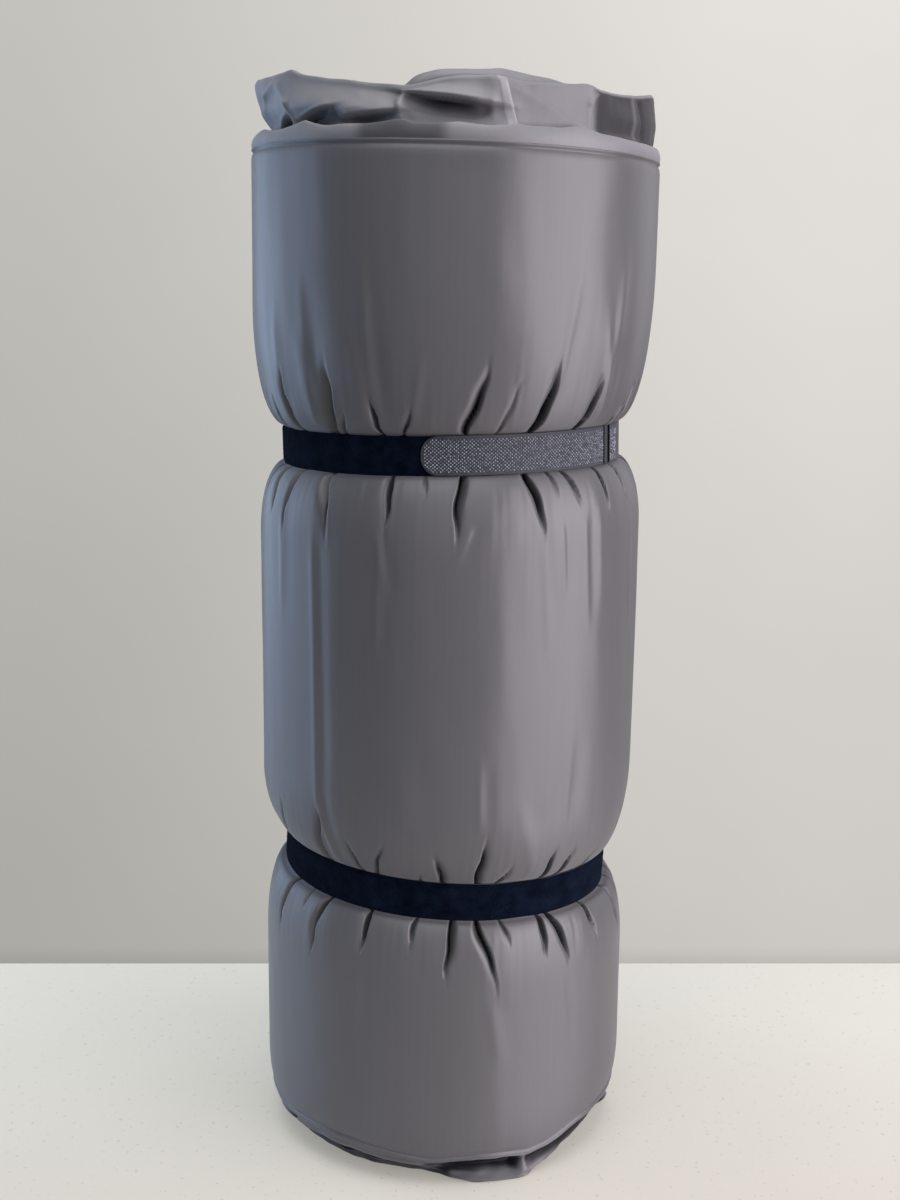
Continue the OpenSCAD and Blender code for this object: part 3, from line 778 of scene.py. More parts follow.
# Side walls: folded strips that follow the coil between the two covers.
# The folds at the front, by angle: height of the band's crest, how far in and how high the
# valley behind it lies, how far in the foot, middle and top of the panel lie, the height of
# its crest, and how far in and how high the ridge behind it lies, all in mm
wall = {
    "width": 100 * mm, "smooth": 1.1, "ragged": 0.14 * mm,
    "band": 9, "valley": 4, "panel": 40, "crest": 5, "back": 9,     # rows of each part
    "layer": 25.2 * mm, "leastRoom": 0.22, "deepest": 24.6 * mm,    # the room between the covers
    "highestCrest": 47.6 * mm, "highestBack": 45 * mm, "wave": 0.25 * mm,
    "columns": (100, 0.36, 1.1, 2.2),    # angle within which they are close, then their steps
    "front": [
        (-107, 14, 7, 10, 11, 8, 6, 43, 14, 41),
        (-94, 13, 8, 9, 13, 7, 3.5, 46, 13, 44),
        (-86, 12.5, 9, 8, 14, 6.5, 2.2, 47, 12, 44),
        (-78, 12.8, 9, 8.5, 14.5, 6.5, 2.2, 47, 12, 44),
        (-70, 13.6, 9, 9.5, 14, 8, 4, 46, 12, 44),
        (-66, 14.4, 9, 9.5, 13.5, 7.8, 5.6, 46, 12, 44),
        (-61, 12.8, 9, 9, 12.5, 7.4, 6.6, 46.4, 12.5, 44),
        (-57, 12.0, 9, 8.5, 11.5, 7.6, 7.6, 47, 13.5, 43),
        (-54, 11.9, 9, 8, 11.5, 6.6, 9.4, 48, 14, 42),
        (-52.4, 12.2, 9, 8, 12, 6.2, 11.4, 44.4, 15.5, 42),
        (-48, 13.6, 8, 8.5, 12.5, 5.8, 13.0, 43, 16.5, 41),
        (-43.4, 15.6, 7, 9, 12.5, 5.8, 14.0, 41.5, 17.5, 39),
        (-40, 13.4, 8, 8, 12.5, 5.8, 14.4, 40.2, 18, 38),
        (-36, 11.8, 9, 7, 12.5, 5.8, 14.8, 39, 18, 36),
        (-28, 11.0, 9, 7, 11.5, 6.2, 14.8, 36.3, 18.5, 34),
        (-23, 11.1, 9, 7, 11, 6.6, 14.4, 35, 18.5, 32),
        (-18, 12.0, 8, 8, 10, 7, 12.6, 33.8, 18, 31),
        (-15, 13.2, 7, 9, 8.5, 7, 12.4, 32.8, 18, 33),
        (-13.2, 12.8, 8, 8, 8.5, 6.5, 12.4, 33, 17.5, 37),
        (-10.5, 10.6, 8, 6.5, 8.5, 6.5, 12.2, 34, 17.5, 39.5),
        (-5, 10.2, 8, 6, 8.5, 6.5, 12, 36.6, 17, 42),
        (0.6, 11.2, 7, 7, 8, 6.5, 11.6, 37.8, 17, 42),
        (5.6, 9.8, 7, 6, 8, 6.5, 11.0, 38, 16.5, 42),
        (9, 9.2, 7, 6, 8.5, 9.5, 8.2, 37.8, 16, 42),
        (12.5, 9.4, 6.5, 6, 8, 8.4, 8.4, 37.2, 16, 42.4),
        (15.7, 10.2, 6, 7, 7.6, 8.2, 8.6, 36, 16, 41),
        (20, 9.2, 7, 6, 8.2, 8.6, 8.8, 35, 16, 40),
        (27, 8.8, 7, 6, 8.8, 9.2, 9, 34.9, 16, 38),
        (33.6, 11.0, 7, 6, 8.2, 8.8, 9, 35.5, 16, 36),
        (38, 8.9, 7, 6, 7.4, 8, 8.4, 36, 15, 35),
        (40.5, 7.8, 7, 5, 7.6, 7.6, 8, 35.4, 15, 35),
        (43.5, 7.0, 8, 4.5, 10.5, 10, 9, 34, 15, 34),
        (52, 5.6, 8, 4, 11.5, 10.5, 12.5, 33.6, 16.5, 33),
        (62, 5.0, 8, 4, 11.5, 10, 12.5, 34.2, 16.5, 33),
        (67, 4.9, 7, 3.5, 10.5, 9, 10.5, 35, 15, 33),
        (70.5, 4.9, 5.5, 3.5, 4.4, 3.8, 5.4, 36.0, 13, 34),
        (76, 5.0, 5, 3.5, 4.0, 2.8, 4.2, 37.6, 11, 36),
        (81, 5.0, 5, 3.5, 4.0, 2.8, 4.8, 35.6, 10, 34),
        (86, 5.4, 5, 4, 4.4, 3.6, 5.4, 32.4, 10, 31),
        (94, 8, 6, 6, 6, 5, 6.4, 32, 12, 31),
        (107, 12, 7, 9, 9, 7, 6, 41, 14, 39)],
    # the same nine where the table doesn't reach, and how far each swings
    "typical": (12, 7, 8, 11, 9.5, 8, 41, 15.5, 38),
    "swing": (2.6, 1.4, 2.4, 2.5, 4, 3.6, 4.6, 2.4, 5.5),
    # creases in the panel: both ends as angle and height, depth (out where negative), and the
    # width on the left or upper side and on the right or lower side
    "folds": [
        (-63, 42, -70, 35, -1.2, 3.0, 2.2), (-70, 35, -76, 25, -1.2, 3.0, 2.4),
        (-60, 39, -55.5, 28, -1.5, 2.6, 3.4), (-55.5, 28, -53, 12, -1.9, 2.2, 2.8),
        (-46, 15.5, -37, 21, -1.7, 1.4, 2.0), (-36, 18, -33.5, 12, 1.2, 3, 3),
        (-31, 19, -21, 18, -1.0, 3.0, 3.0), (-16.5, 25, -15.5, 15, -1.3, 2.5, 1.4),
        (-15.4, 29, -15.6, 22, -1.6, 2.2, 1.2), (-13, 30.5, 9, 25, -1.3, 3.6, 2.6),
        (9.6, 23, 10.2, 14, -0.8, 2.6, 2.6), (18, 29, 33, 13, -0.9, 3.0, 5.0),
        (45.7, 33.4, 41.6, 29.5, -0.8, 1.6, 2.4), (41.6, 29.5, 39.4, 24, -1.1, 1.6, 2.4),
        (39.4, 24, 38.6, 9, -1.1, 1.6, 2.4), (68.0, 31, 69.0, 8, 3.0, 1.3, 1.1)],
    # hollows, deepest in the middle: both ends as angle and height, depth, and the reach on
    # the upper and on the lower side
    "hollows": [
        (-15.4, 27.4, 9.4, 19.6, 9.5, 2.5, 8.5), (-51.0, 15.0, -36.0, 21.4, 8.0, 2.3, 6.5),
        (-66, 13.0, -57.0, 19.0, 7.0, 2.6, 7.0), (-33, 14.6, -17.5, 16.4, 5.0, 2.2, 5.0)],
    # painted shade beyond the hollows, darkening set angle ranges of the folds: from and to an angle, how
    # much, and whether on the band
    "shaded": [(-28, 0, 0.50, True), (16, 42, 0.16, False), (39, 67, 0.72, False), (62, 86, 0.66, False)],
    "looseSeed": 71,
}


# Depth of a hollow from a to b and of the shade painted into it, with a low ridge along its upper side
def hollow(x, y, ax, ay, bx, by, above, below):
    dx, dy = bx - ax, by - ay
    size = math.hypot(dx, dy)
    along = ((x - ax) * dx + (y - ay) * dy) / (size * size) * 2 - 1
    off = (dx * (y - ay) - dy * (x - ax)) / size
    reach = np.exp(-np.abs(along) ** 2.4)
    shadeUp, shadeDown = np.exp(-(off / (0.45 * above)) ** 2), np.exp(-np.abs(off / (1.15 * below)) ** 1.3)
    deep = reach * np.exp(-np.abs(off / np.where(off > 0, above, below)) ** 2.2)
    ridge = 0.22 * reach * np.exp(-((off - 1.35 * above) / (0.6 * above)) ** 2)
    return deep - ridge, reach * np.where(off > 0, shadeUp, shadeDown)


# How near a place is to the line from a to b, from 0 to 1
def segmentFold(x, y, ax, ay, bx, by, left, right):
    dx, dy = bx - ax, by - ay
    t = np.clip(((x - ax) * dx + (y - ay) * dy) / (dx * dx + dy * dy), 0, 1)
    away = np.hypot(x - ax - t * dx, y - ay - t * dy)
    side = dx * (y - ay) - dy * (x - ax)
    return np.exp(-(away / np.where(side > 0, left, right)) ** 1.6)


# Fold lines for the places the table doesn't reach, by distance along the coil
def looseFolds(seed, start, finish, low, high):
    rng = np.random.default_rng(seed)
    found, at = [], start
    while at < finish:
        base, lean = rng.uniform(low, 0.4 * low + 0.6 * high), rng.uniform(-14, 14) * mm
        top = min(high, base + rng.uniform(0.3, 0.75) * (high - low))
        found.append((at, base, at + lean, top, rng.choice([-1.5, -1.2, 1.8, 2.6, 3.4]) * mm,
                      rng.uniform(2.4, 5.5) * mm, rng.uniform(2.4, 5.5) * mm))
        at += rng.uniform(7, 17) * mm
    return found


# The columns of a table by angle, read at phi and smoothed over some degrees
def keyed(table, phi, smooth):
    table = np.array(table)
    step = 0.2
    fine = np.arange(table[0, 0], table[-1, 0] + step, step)
    return [np.interp(phi, fine, blurred(np.interp(fine, table[:, 0], table[:, k]), smooth / step))
            for k in range(1, table.shape[1])]


# How far the walls follow their tables, which reach round the front only
def frontShare(n):
    return (n < 1) * ease((107 - np.abs(coilPhi(n))) / 10)


# Share of its full depth that a wall's section has between the covers
def wallRoom(n):
    return np.clip((coilR(n) - layerBottomR(n)) / wall["layer"], wall["leastRoom"], 1)


# A section through control points, given as how far in and how high for all the columns
def sectionThrough(points, samples, columns):
    wide = [np.stack(np.broadcast_arrays(a, h, np.zeros(columns))[:2]) for a, h in points]
    return throughPoints(np.stack(wide), samples)


# The dents of the panel's creases and hollows, and the shade painted into the hollows
def panelDents(n, panelH, front):
    arc = coilArc(n)
    perDegree = coilArc(fromPhi(0.0)) - coilArc(fromPhi(1.0))
    x = np.where(n < 1, coilPhi(n) * perDegree, 1.0)[None, :]

    def between(phiA, hA, phiB, hB):
        return x, panelH, phiA * perDegree, hA * mm, phiB * perDegree, hB * mm
    dent, dark, raised = 0 * panelH, 0 * panelH, 0 * panelH
    for *ends, depth, left, right in wall["folds"]:
        fold = front * segmentFold(*between(*ends), left * mm, right * mm)
        dent = dent + depth * mm * fold
        raised = np.maximum(raised, fold * min(1.0, max(0.0, -0.6 * depth)))
    for *ends, depth, above, below in wall["hollows"]:
        deep, shaded = hollow(*between(*ends), above * mm, below * mm)
        dent = dent + depth * mm * front * deep
        dark = np.maximum(dark, front * shaded * min(1.0, 0.35 + 0.09 * depth))
    for at, hA, to, hB, depth, left, right in looseFolds(
            wall["looseSeed"], 0.0, coilArc(roll["turns"]), 12 * mm, 40 * mm):
        near = np.abs(arc - at) < 40 * mm
        fold = segmentFold(arc[near][None, :], panelH[:, near], at, hA, to, hB, left, right)
        dent[:, near] += depth * (1 - front[near]) * fold
    return dent, dark * (1 - raised)


# Points of the top wall from seam to seam, and the shade painted on them
def topWallPoints(n):
    phi, arc = coilPhi(n), coilArc(n)
    front = frontShare(n)
    table = keyed(wall["front"], phi, wall["smooth"])
    table[0] = 0.2 * table[0] + 0.8 * keyed(wall["front"], phi, 0.3)[0]
    section = []
    for k, shown in enumerate(table):
        away = wall["typical"][k] + wall["swing"][k] * unevenness(60 + k, 7, 26 * mm, 110 * mm)(arc, 0 * arc)
        section.append((shown * front + away * (1 - front)) * mm)
    bandH, valleyIn, valleyH, footIn, midIn, crestIn, crestH, backIn, backH = section
    crestH, backH = np.minimum(crestH, wall["highestCrest"]), np.minimum(backH, wall["highestBack"])
    # the turns inside stay lower than the fold in front of them
    behind = ease((100 - np.abs(around(phi, 0))) / 20) * (n > 1)
    hidden = keyed(wall["front"], around(phi, 0), 4.0)[6] * mm
    crestH = crestH + behind * (np.minimum(crestH, hidden + 0.6 * mm) - crestH)
    backH = backH + behind * (np.minimum(backH, hidden - 1.0 * mm) - backH)
    rise = seamShift(phi)
    bandH = np.maximum(bandH, rise + 4 * mm)
    valleyH = np.maximum(valleyH, rise + 1 * mm)
    band = sectionThrough([
        (0 * mm, rise), (-0.5 * mm, rise + 0.4 * (bandH - rise)), (0.5 * mm, rise + 0.84 * (bandH - rise)),
        (1.7 * mm, bandH), (2.8 * mm, bandH - 0.5 * mm),
        (0.5 * (valleyIn + 2 * mm), 0.6 * valleyH + 0.4 * bandH), (valleyIn, valleyH)],
        wall["band"] + wall["valley"], len(n))
    f = ((np.arange(wall["panel"]) + 1) / wall["panel"])[:, None]
    panelH = (valleyH + 1.2 * mm) + f * (crestH - valleyH - 3.4 * mm)
    panelA = valleyIn + (footIn - valleyIn) * ease(f / 0.22) + (midIn - footIn) * ease((f - 0.15) / 0.4) \
        + (crestIn - midIn) * ease((f - 0.45) / 0.55)
    dent, hollowShade = panelDents(n, panelH, front)
    dent = dent * (ease(f / 0.12) * ease((1 - f) / 0.10))
    ragged = unevenness(91, 16, 8 * mm, 34 * mm)
    panelA = panelA + dent + wall["ragged"] * (1 + 1.6 * (1 - front)) * ragged(arc[None, :], panelH)
    # painted shade in the hollows and the deepest dents
    panelShade = np.maximum(hollowShade * ease(f / 0.06), 0.5 * ease((dent / mm - 0.8) / 3.0))
    top = sectionThrough([
        (panelA[-1], panelH[-1]), (crestIn + 0.5 * mm, crestH - 0.5 * mm), (crestIn + 1.5 * mm, crestH),
        (crestIn + 2.6 * mm, crestH - 0.9 * mm),
        (0.5 * (crestIn + backIn) + 1 * mm, np.minimum(crestH, backH) - 5 * mm),
        (backIn - 0.8 * mm, backH - 1 * mm), (backIn + 0.4 * mm, backH), (backIn + 2 * mm, backH - 3 * mm),
        (20.5 * mm, 20 * mm), (21.5 * mm, 9 * mm), (24.4 * mm, rise)],
        wall["crest"] + wall["back"], len(n))
    a = np.concatenate([band[:, 0], panelA, top[1:, 0]])
    h = np.concatenate([band[:, 1], panelH, top[1:, 1]])
    wave = unevenness(92, 12, 12 * mm, 50 * mm)(arc[None, :], a * 3)
    h = h + wall["wave"] * wave * ease((h - rise) / (6 * mm))
    a = np.clip(a, -0.5 * mm, wall["deepest"])
    dark = np.concatenate([0 * band[:, 0], panelShade, 0 * top[1:, 0]])
    last = len(band)
    # painted shade over the set angle ranges
    for start, finish, much, onBand in wall["shaded"]:
        within = much * front * ease((phi - start) / 5) * ease((finish - phi) / 5)
        rows = dark[:last] if onBand else dark[last:last + wall["panel"]]
        np.maximum(rows, within[None, :], out=rows)
    # painted shade where the panel starts, in behind the band
    dark[last - 2:last + 3] = np.maximum(dark[last - 2:last + 3], 0.75)
    edge = turnR(n, roll["highZ"] + rise)
    return spot(phi[None, :], edge[None, :] - a * wallRoom(n)[None, :], roll["highZ"] + h), dark


# Columns of the walls, close together at the front only
def columnsOf(fineBand, fine, plain, inner):
    stops = [(fineBand, plain), (-fineBand, fine), (roll["endPhi"] - 360, plain)]
    n = fromPhi(stepsOf(roll["endPhi"], stops))
    more = np.arange(1, (roll["turns"] - 1) * 360 / inner + 1) * inner / 360 + 1
    return np.concatenate([n, more])


# A folded strip, with its cloth coordinates along and across it and its painted shade
def stripPiece(name, n, points, dark, cloth, flip):
    steps = np.linalg.norm(np.diff(points, axis=0), axis=2)
    run = np.concatenate([np.zeros((1, len(n))), np.cumsum(steps, axis=0)])
    print(name, "strip width", round(float(run[-1].mean()) * 1000), "mm")
    uv = np.stack([np.broadcast_to(coilArc(n), run.shape), run], axis=-1)
    return gridPiece(name, points, uv, cloth, flip=flip, shade=dark)


def buildTopWall():
    n = columnsOf(*wall["columns"])
    piece = stripPiece("topSideWall", n, *topWallPoints(n), paintedLightTopCloth, True)
    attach(piece, "roll")
    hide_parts("top_side_wall")


buildTopWall()


# The wall folded under the foot.
# By angle, in mm: how far in and how far down the hollow under the seam lies, then the fold
# below it, then its underside, and how far in the cloth meets the ground
foot = {
    "samples": 44, "crumple": 0.5 * mm, "columns": (100, 0.6, 1.4, 3.0),
    "front": [
        (-107, 2, 6, 5, 11, 10, 17, 14), (-90, 1.5, 4, 2.5, 8, 8, 16, 15),
        (-66, 2, 3, 2.5, 8, 9, 15, 16), (-60, 8, 6, 8, 11, 12, 16, 18),
        (-56, 1.8, 2.8, 1.8, 5.4, 9.5, 11, 19.5), (-40, 1.4, 2.2, 1.5, 5.2, 10.5, 10.5, 20.5),
        (-22, 1.4, 2.4, 1.8, 5.6, 11, 11, 21.5), (-8, 1.8, 2.6, 2.2, 5.8, 12, 12, 22),
        (-1, 8, 6, 12, 12, 14, 17, 18), (4, 13, 8, 11, 15, 9, 20, 12),
        (10, 14, 9.5, 9, 16, 4.5, 21.4, 7), (17, 15, 10, 8, 16.5, 2.4, 22.2, 4.4),
        (23, 14, 11, 6, 17, 1.4, 22.6, 2.8), (26, 4, 6, 1.0, 17, 0.8, 22, 2.4),
        (27.6, 3.4, 5, 0.8, 16, 0.8, 21.6, 2.4), (29.4, 9, 9, 1.2, 18, 2.0, 21.6, 5),
        (32, 8, 7.5, 2.8, 16, 4.5, 21, 9), (37, 8.5, 7, 4.2, 15, 7.5, 20, 12),
        (46, 8, 6, 7.0, 13, 12, 19, 17.5), (60, 6.5, 5, 8, 11, 13, 17, 21),
        (76, 5.5, 4.5, 7, 10, 12, 17, 20), (86, 1.6, 4, 2, 10, 3.6, 18, 5),
        (91, 1.2, 4, 1.2, 11, 1.6, 19, 2.6), (97, 2.2, 5, 3, 11, 6, 17, 9),
        (107, 2, 6, 5, 11, 10, 17, 14)],
}


def bottomWallPoints(n):
    phi, arc = coilPhi(n), coilArc(n)
    k = [unevenness(130 + i, 6, 24 * mm, 90 * mm)(arc, 0 * arc) for i in range(6)]
    front = frontShare(n)
    table = keyed(foot["front"], phi, 0.7)
    typical = (2.2 + 0.4 * k[0], 5, 5 + 1.2 * k[1], 11 + k[5], 10 + 1.6 * k[2], 17 + k[4], 14 + 1.5 * k[3])
    mixed = [a * front + b * (1 - front) for a, b in zip(table, typical)]
    inA, inH, foldA, foldH, underA, underH, floorA = mixed
    section = sectionThrough([
        (0, 0), (0.5, 1.6), (inA, inH), (foldA, foldH),
        (0.5 * (foldA + underA), 0.5 * (foldH + underH) + 0.8), (underA, underH),
        (0.35 * underA + 0.65 * floorA, 0.25 * underH + 17.4), (floorA, 23.6),
        (np.maximum(17, floorA + 2) + 0.5 * k[4], 23.9), (np.maximum(20.5, floorA + 1) + 0.5 * k[0], 22),
        (18 + k[5], 17 + 1.5 * k[2]), (14 + k[3], 15 + k[0]), (13 + k[0], 9.5 + 1.5 * k[4]),
        (16 + k[1], 7 + k[5]), (20.5 + 0.6 * k[2], 12.5 + k[3]), (22.6, 15), (24.4, 0)],
        foot["samples"], len(n)) * mm
    s = np.linspace(0, 1, foot["samples"])[:, None]
    held = np.minimum(1, np.minimum(s, 1 - s) / 0.1)
    wrinkle = unevenness(191, 14, 9 * mm, 34 * mm)(arc[None, :], s * wall["width"])
    a = np.clip(section[:, 0] + held * foot["crumple"] * wrinkle, -0.3 * mm, wall["deepest"])
    low = roll["lowZ"] + footShift(phi)
    z = low[None, :] - section[:, 1] * (low / roll["lowZ"])[None, :]
    z = np.clip(z, 0.1 * mm, low[None, :])
    # painted shade underneath, but not on the flap that lies out on the ground
    opened = front * ease((phi - 1) / 3) * ease((28 - phi) / 2)
    dark = 0.92 * ease((a / mm - 2.8) / 4) * (1 - opened * ease((section[:, 1] / mm - 14.5) / 3))
    return spot(phi[None, :], turnR(n, low)[None, :] - a * wallRoom(n)[None, :], z), dark


def buildBottomWall():
    n = columnsOf(*foot["columns"])
    piece = stripPiece("bottomSideWall", n, *bottomWallPoints(n), wallCloth, False)
    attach(piece, "roll")
    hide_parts("bottom_side_wall")


buildBottomWall()


# End walls: the head's lies on the roll behind the pad's edge, the foot's in the core
endWall = {
    "headLength": 49 * mm, "headPhi": -134.6, "headSteps": 18,
    "headRows": (1.6 * mm, 3.6 * mm, 9 * mm, 1.2 * mm), "thick": 4.6, "headCrumple": 0.5 * mm,
    "footLength": 50 * mm, "footPhi": 222, "footSteps": 20, "footRows": 70, "footCrumple": 0.3 * mm,
}


# Cloth coordinates of a strip laid round the roll at one radius
def stripUv(phi, r, z):
    run = np.concatenate([[0], np.cumsum(np.abs(np.diff(np.radians(phi))) * r)])
    return np.stack(np.broadcast_arrays(run[None, :], z), axis=-1)


def buildHeadEndWall():
    start = endWall["headPhi"]
    f = np.linspace(0, 1, endWall["headSteps"])
    out = start + math.degrees(endWall["headLength"] / roll["laidOutR"]) * f
    phi = np.concatenate([out, [out[-1] + 0.35], out[::-1]])
    z = rowHeights(phi[None, :], heights(*endWall["headRows"])[:, None])
    sunk = np.concatenate([0.2 + 0 * f, [endWall["thick"] / 2], endWall["thick"] + 0 * f]) * mm
    across = np.concatenate([f, [1], f[::-1]])
    taper = np.concatenate([1.6 * ease((f - 0.6) / 0.4), [0], -1.2 * ease((f[::-1] - 0.7) / 0.3)]) * mm
    crumple = unevenness(301, 12, 10 * mm, 40 * mm, 1.6)((across * endWall["headLength"])[None, :], z)
    r = coverR(phi[None, :], z) - (sunk + taper)[None, :]
    r = r + endWall["headCrumple"] * crumple * ease(across * 3)[None, :]
    uv = stripUv(phi, roll["laidOutR"], z)
    piece = gridPiece("headEndWall", spot(phi[None, :], r, z), uv, wallCloth)
    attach(piece, "roll")
    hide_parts("head_end_wall")


def buildFootEndWall():
    z = np.linspace(roll["lowZ"], roll["highZ"], endWall["footRows"])[:, None]
    coreR = (coilR(roll["turns"] + roll["stepTurn"]) * straps["strap_2"]["waist"] / roll["laidOutR"]) * 0.985
    arc = math.degrees(endWall["footLength"] / coreR)
    f = np.linspace(0, 1, endWall["footSteps"])
    phi = endWall["footPhi"] - arc * np.concatenate([f, f[::-1]])
    crumple = unevenness(311, 9, 12 * mm, 50 * mm, 1.6)(np.radians(phi)[None, :] * coreR, z)
    deep = np.concatenate([0.3 + 0.6 * f, 4.6 - 0.4 * f]) * mm
    r = coreR - deep[None, :] - endWall["footCrumple"] * (1 + crumple)
    uv = stripUv(phi, coreR, z)
    piece = gridPiece("footEndWall", spot(phi[None, :], r, z), uv, wallCloth, flip=True)
    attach(piece, "roll")
    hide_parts("foot_end_wall")


buildHeadEndWall()
buildFootEndWall()


# The tape over the joint of the side wall's ends, laid on the top wall's surface from 0 to "from" degrees
joint = {"phiTop": 12.1, "phiLow": 16.0, "rows": 40, "columns": 7, "width": 6.0 * mm, "length": 45 * mm,
         "lift": 0.3 * mm, "edgeLift": 0.2, "r": 124 * mm, "from": 30, "step": 0.25}
tapeCloth = satinCloth("jointTapeCloth", 2.5, (0.42, 0.5), 0.8, 0.6)


def buildJointTape():
    surface = topWallPoints(fromPhi(np.arange(joint["from"], 0, -joint["step"])))[0]
    first = wall["band"] + wall["valley"] - 5
    last = wall["band"] + wall["valley"] + wall["panel"] + 1
    edge = joint["columns"] - 1
    points = np.zeros((joint["rows"], joint["columns"], 3))
    for i, row in enumerate(np.linspace(first, last, joint["rows"])):
        a = int(row)
        line = surface[a] * (1 - row + a) + surface[a + 1] * (row - a)
        middle = joint["phiLow"] + (joint["phiTop"] - joint["phiLow"]) * (row - first) / (last - first)
        for j in range(joint["columns"]):
            phi = middle + math.degrees((j / edge - 0.5) * joint["width"] / joint["r"])
            at = (joint["from"] - phi) / joint["step"]
            b = int(at)
            outward = np.array([math.sin(math.radians(phi)), -math.cos(math.radians(phi)), 0])
            lift = joint["lift"] * (1 if 0 < j < edge else joint["edgeLift"])
            points[i, j] = line[b] * (1 - at + b) + line[b + 1] * (at - b) + outward * lift
    uv = np.stack(np.broadcast_arrays(np.linspace(0, joint["width"], joint["columns"])[None, :],
                                      np.linspace(0, joint["length"], joint["rows"])[:, None]), axis=-1)
    piece = gridPiece("wallJointTape", points, uv, tapeCloth)
    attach(piece, "roll")
    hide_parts("wall_joint_tape")


buildJointTape()
print("walls built")


# Straps: thicknesses and lengths of the tapes, the loop tape's pile, the hooks, and the parts of
# the hook tape without them. The pile's heights and the hooks' stray and lean are in mm
tape = {
    "ribbonT": 0.7 * mm, "loopT": 1.0 * mm, "hookT": 1.1 * mm, "soft": 0.3 * mm, "sewn": 0.05 * mm,
    "tabLength": 143 * mm, "rootLength": 22 * mm, "foldGap": 1.6 * mm,
    "bareRibbon": 152 * mm, "freeEnd": 43 * mm,
    "ribbonColumns": 1100, "rib": 0.03 * mm, "ribApart": 0.9 * mm,
    "overRoot": 1.32 * mm, "pastRoot": 4.5 * mm, "overRootRuns": (1.5 * mm, 2.0 * mm),
    "pileHalf": 11.1 * mm, "pileStep": 0.75 * mm, "pileTop": 1.12 * mm, "wander": 0.16 * mm,
    "pileColumns": 33, "pileRun": 0.9 * mm, "bareT": 0.34, "pileT": 0.52, "pile": 0.11, "tufts": 0.09,
    "hookPitch": 1.2 * mm, "hookApart": 2.15 * mm, "hookHalf": 10.2 * mm, "hookSide": 0.42 * mm,
    "hookHigh": 0.5 * mm, "hookColumns": 1.1 * mm, "hooksAside": 5, "hookMargins": (0.9 * mm, 1.2 * mm),
    "hookEdge": 1.0 * mm, "hookStray": 0.08, "hookLean": 0.12,
    "hem": 7.2 * mm, "hemHigh": 0.45 * mm, "groove": 0.25 * mm, "rootHooks": 11.5 * mm,
    "uneven": 0.04 * mm, "tipRound": 2.3, "tipColumns": 22,
}


# A place on a strap: degrees from the tab's seam, radius, and height over the strap's middle
def strapSpot(key, theta, r, h):
    s = straps[key]
    a = np.radians(s["seam"] + s["way"] * theta)
    t = math.radians(s["tilt"])
    x, y = r * np.sin(a), -r * np.cos(a)
    z = h + 0 * x
    return np.stack([x * math.cos(t) + z * math.sin(t) + leanX(s["z"]), y + 0 * z,
                     z * math.cos(t) - x * math.sin(t) + s["z"]], axis=-1)


def strapDegrees(length, r):
    return math.degrees(length / r)


# Faces of a closed tube, ring by column
def tubeFaces(ring, cols, flip):
    faces = gridFaces(ring, cols, flip=flip, wrapRows=True)
    ends = [tuple(i * cols for i in range(ring)), tuple(i * cols + cols - 1 for i in range(ring))[::-1]]
    return faces + ([e[::-1] for e in ends] if flip else ends)


# A closed tape along the strap: sectionOf(arc) gives heights and depths for every column
def tapePiece(name, key, start, finish, r, count, sectionOf, material):
    theta = np.linspace(start, finish, count)
    arc = np.radians(theta) * r
    h, out = sectionOf(arc)                       # ring by column
    points = strapSpot(key, theta[None, :], r + out, h)
    faces = tubeFaces(*points.shape[:2], straps[key]["way"] < 0)
    uv = np.stack(np.broadcast_arrays(arc[None, :], h), axis=-1)
    return pieceFrom(name, points.reshape(-1, 3), faces, uv.reshape(-1, 2), material)


# The ribbon's section, with a thick place where it is sewn over the tab's root
def ribbonSection(arc):
    rib = tape["rib"] * np.sin(arc / tape["ribApart"] * math.pi)
    h = np.array([-1, -0.985, -0.93, 0, 0.93, 0.985, 1, 0.985, 0.93, 0, -0.93, -0.985]) * strapHalf
    out = np.array([0.35, 0.06, 0.0, 0.0, 0.0, 0.06, 0.35, 0.66, 0.66, 0.62, 0.66, 0.66]) * mm
    past = tape["rootLength"] + tape["pastRoot"] - arc
    rise, fall = tape["overRootRuns"]
    sewn = ease((arc - tape["foldGap"]) / rise) * ease(past / fall)
    top = np.array([0.3, 0, 0, 0, 0, 0, 0.3, 1, 1, 1, 1, 1])[:, None]
    return h[:, None] + 0 * arc[None, :], out[:, None] + top * (rib + tape["overRoot"] * sewn)[None, :]


# The loop tape's section, with its uneven pile between two bare edges
def loopSection(seed):
    wander = unevenness(seed, 8, 25 * mm, 90 * mm)
    pile = unevenness(seed + 1, 26, 1.1 * mm, 4.5 * mm)
    tufts = unevenness(seed + 2, 26, 0.9 * mm, 2.2 * mm)

    def section(arc):
        top = np.concatenate([[1.0, 0.985], np.linspace(0.95, -0.95, tape["pileColumns"]), [-0.985, -1.0]])
        h = np.concatenate([top, [-0.9, 0.9]])[:, None] * strapHalf + 0 * arc[None, :]
        h = h + (tape["wander"] * wander(arc, 0 * arc))[None, :]
        inPile = ease((tape["pileHalf"] - np.abs(h)) / tape["pileRun"])
        fuzz = tape["pile"] * pile(arc[None, :], h) + tape["tufts"] * tufts(arc[None, :], h)
        out = (tape["bareT"] + inPile * (tape["pileT"] + fuzz)) * mm
        out[0], out[-3] = 0.12 * mm, 0.12 * mm
        out[-2:] = 0
        return h, np.minimum(out, tape["pileTop"])
    return section


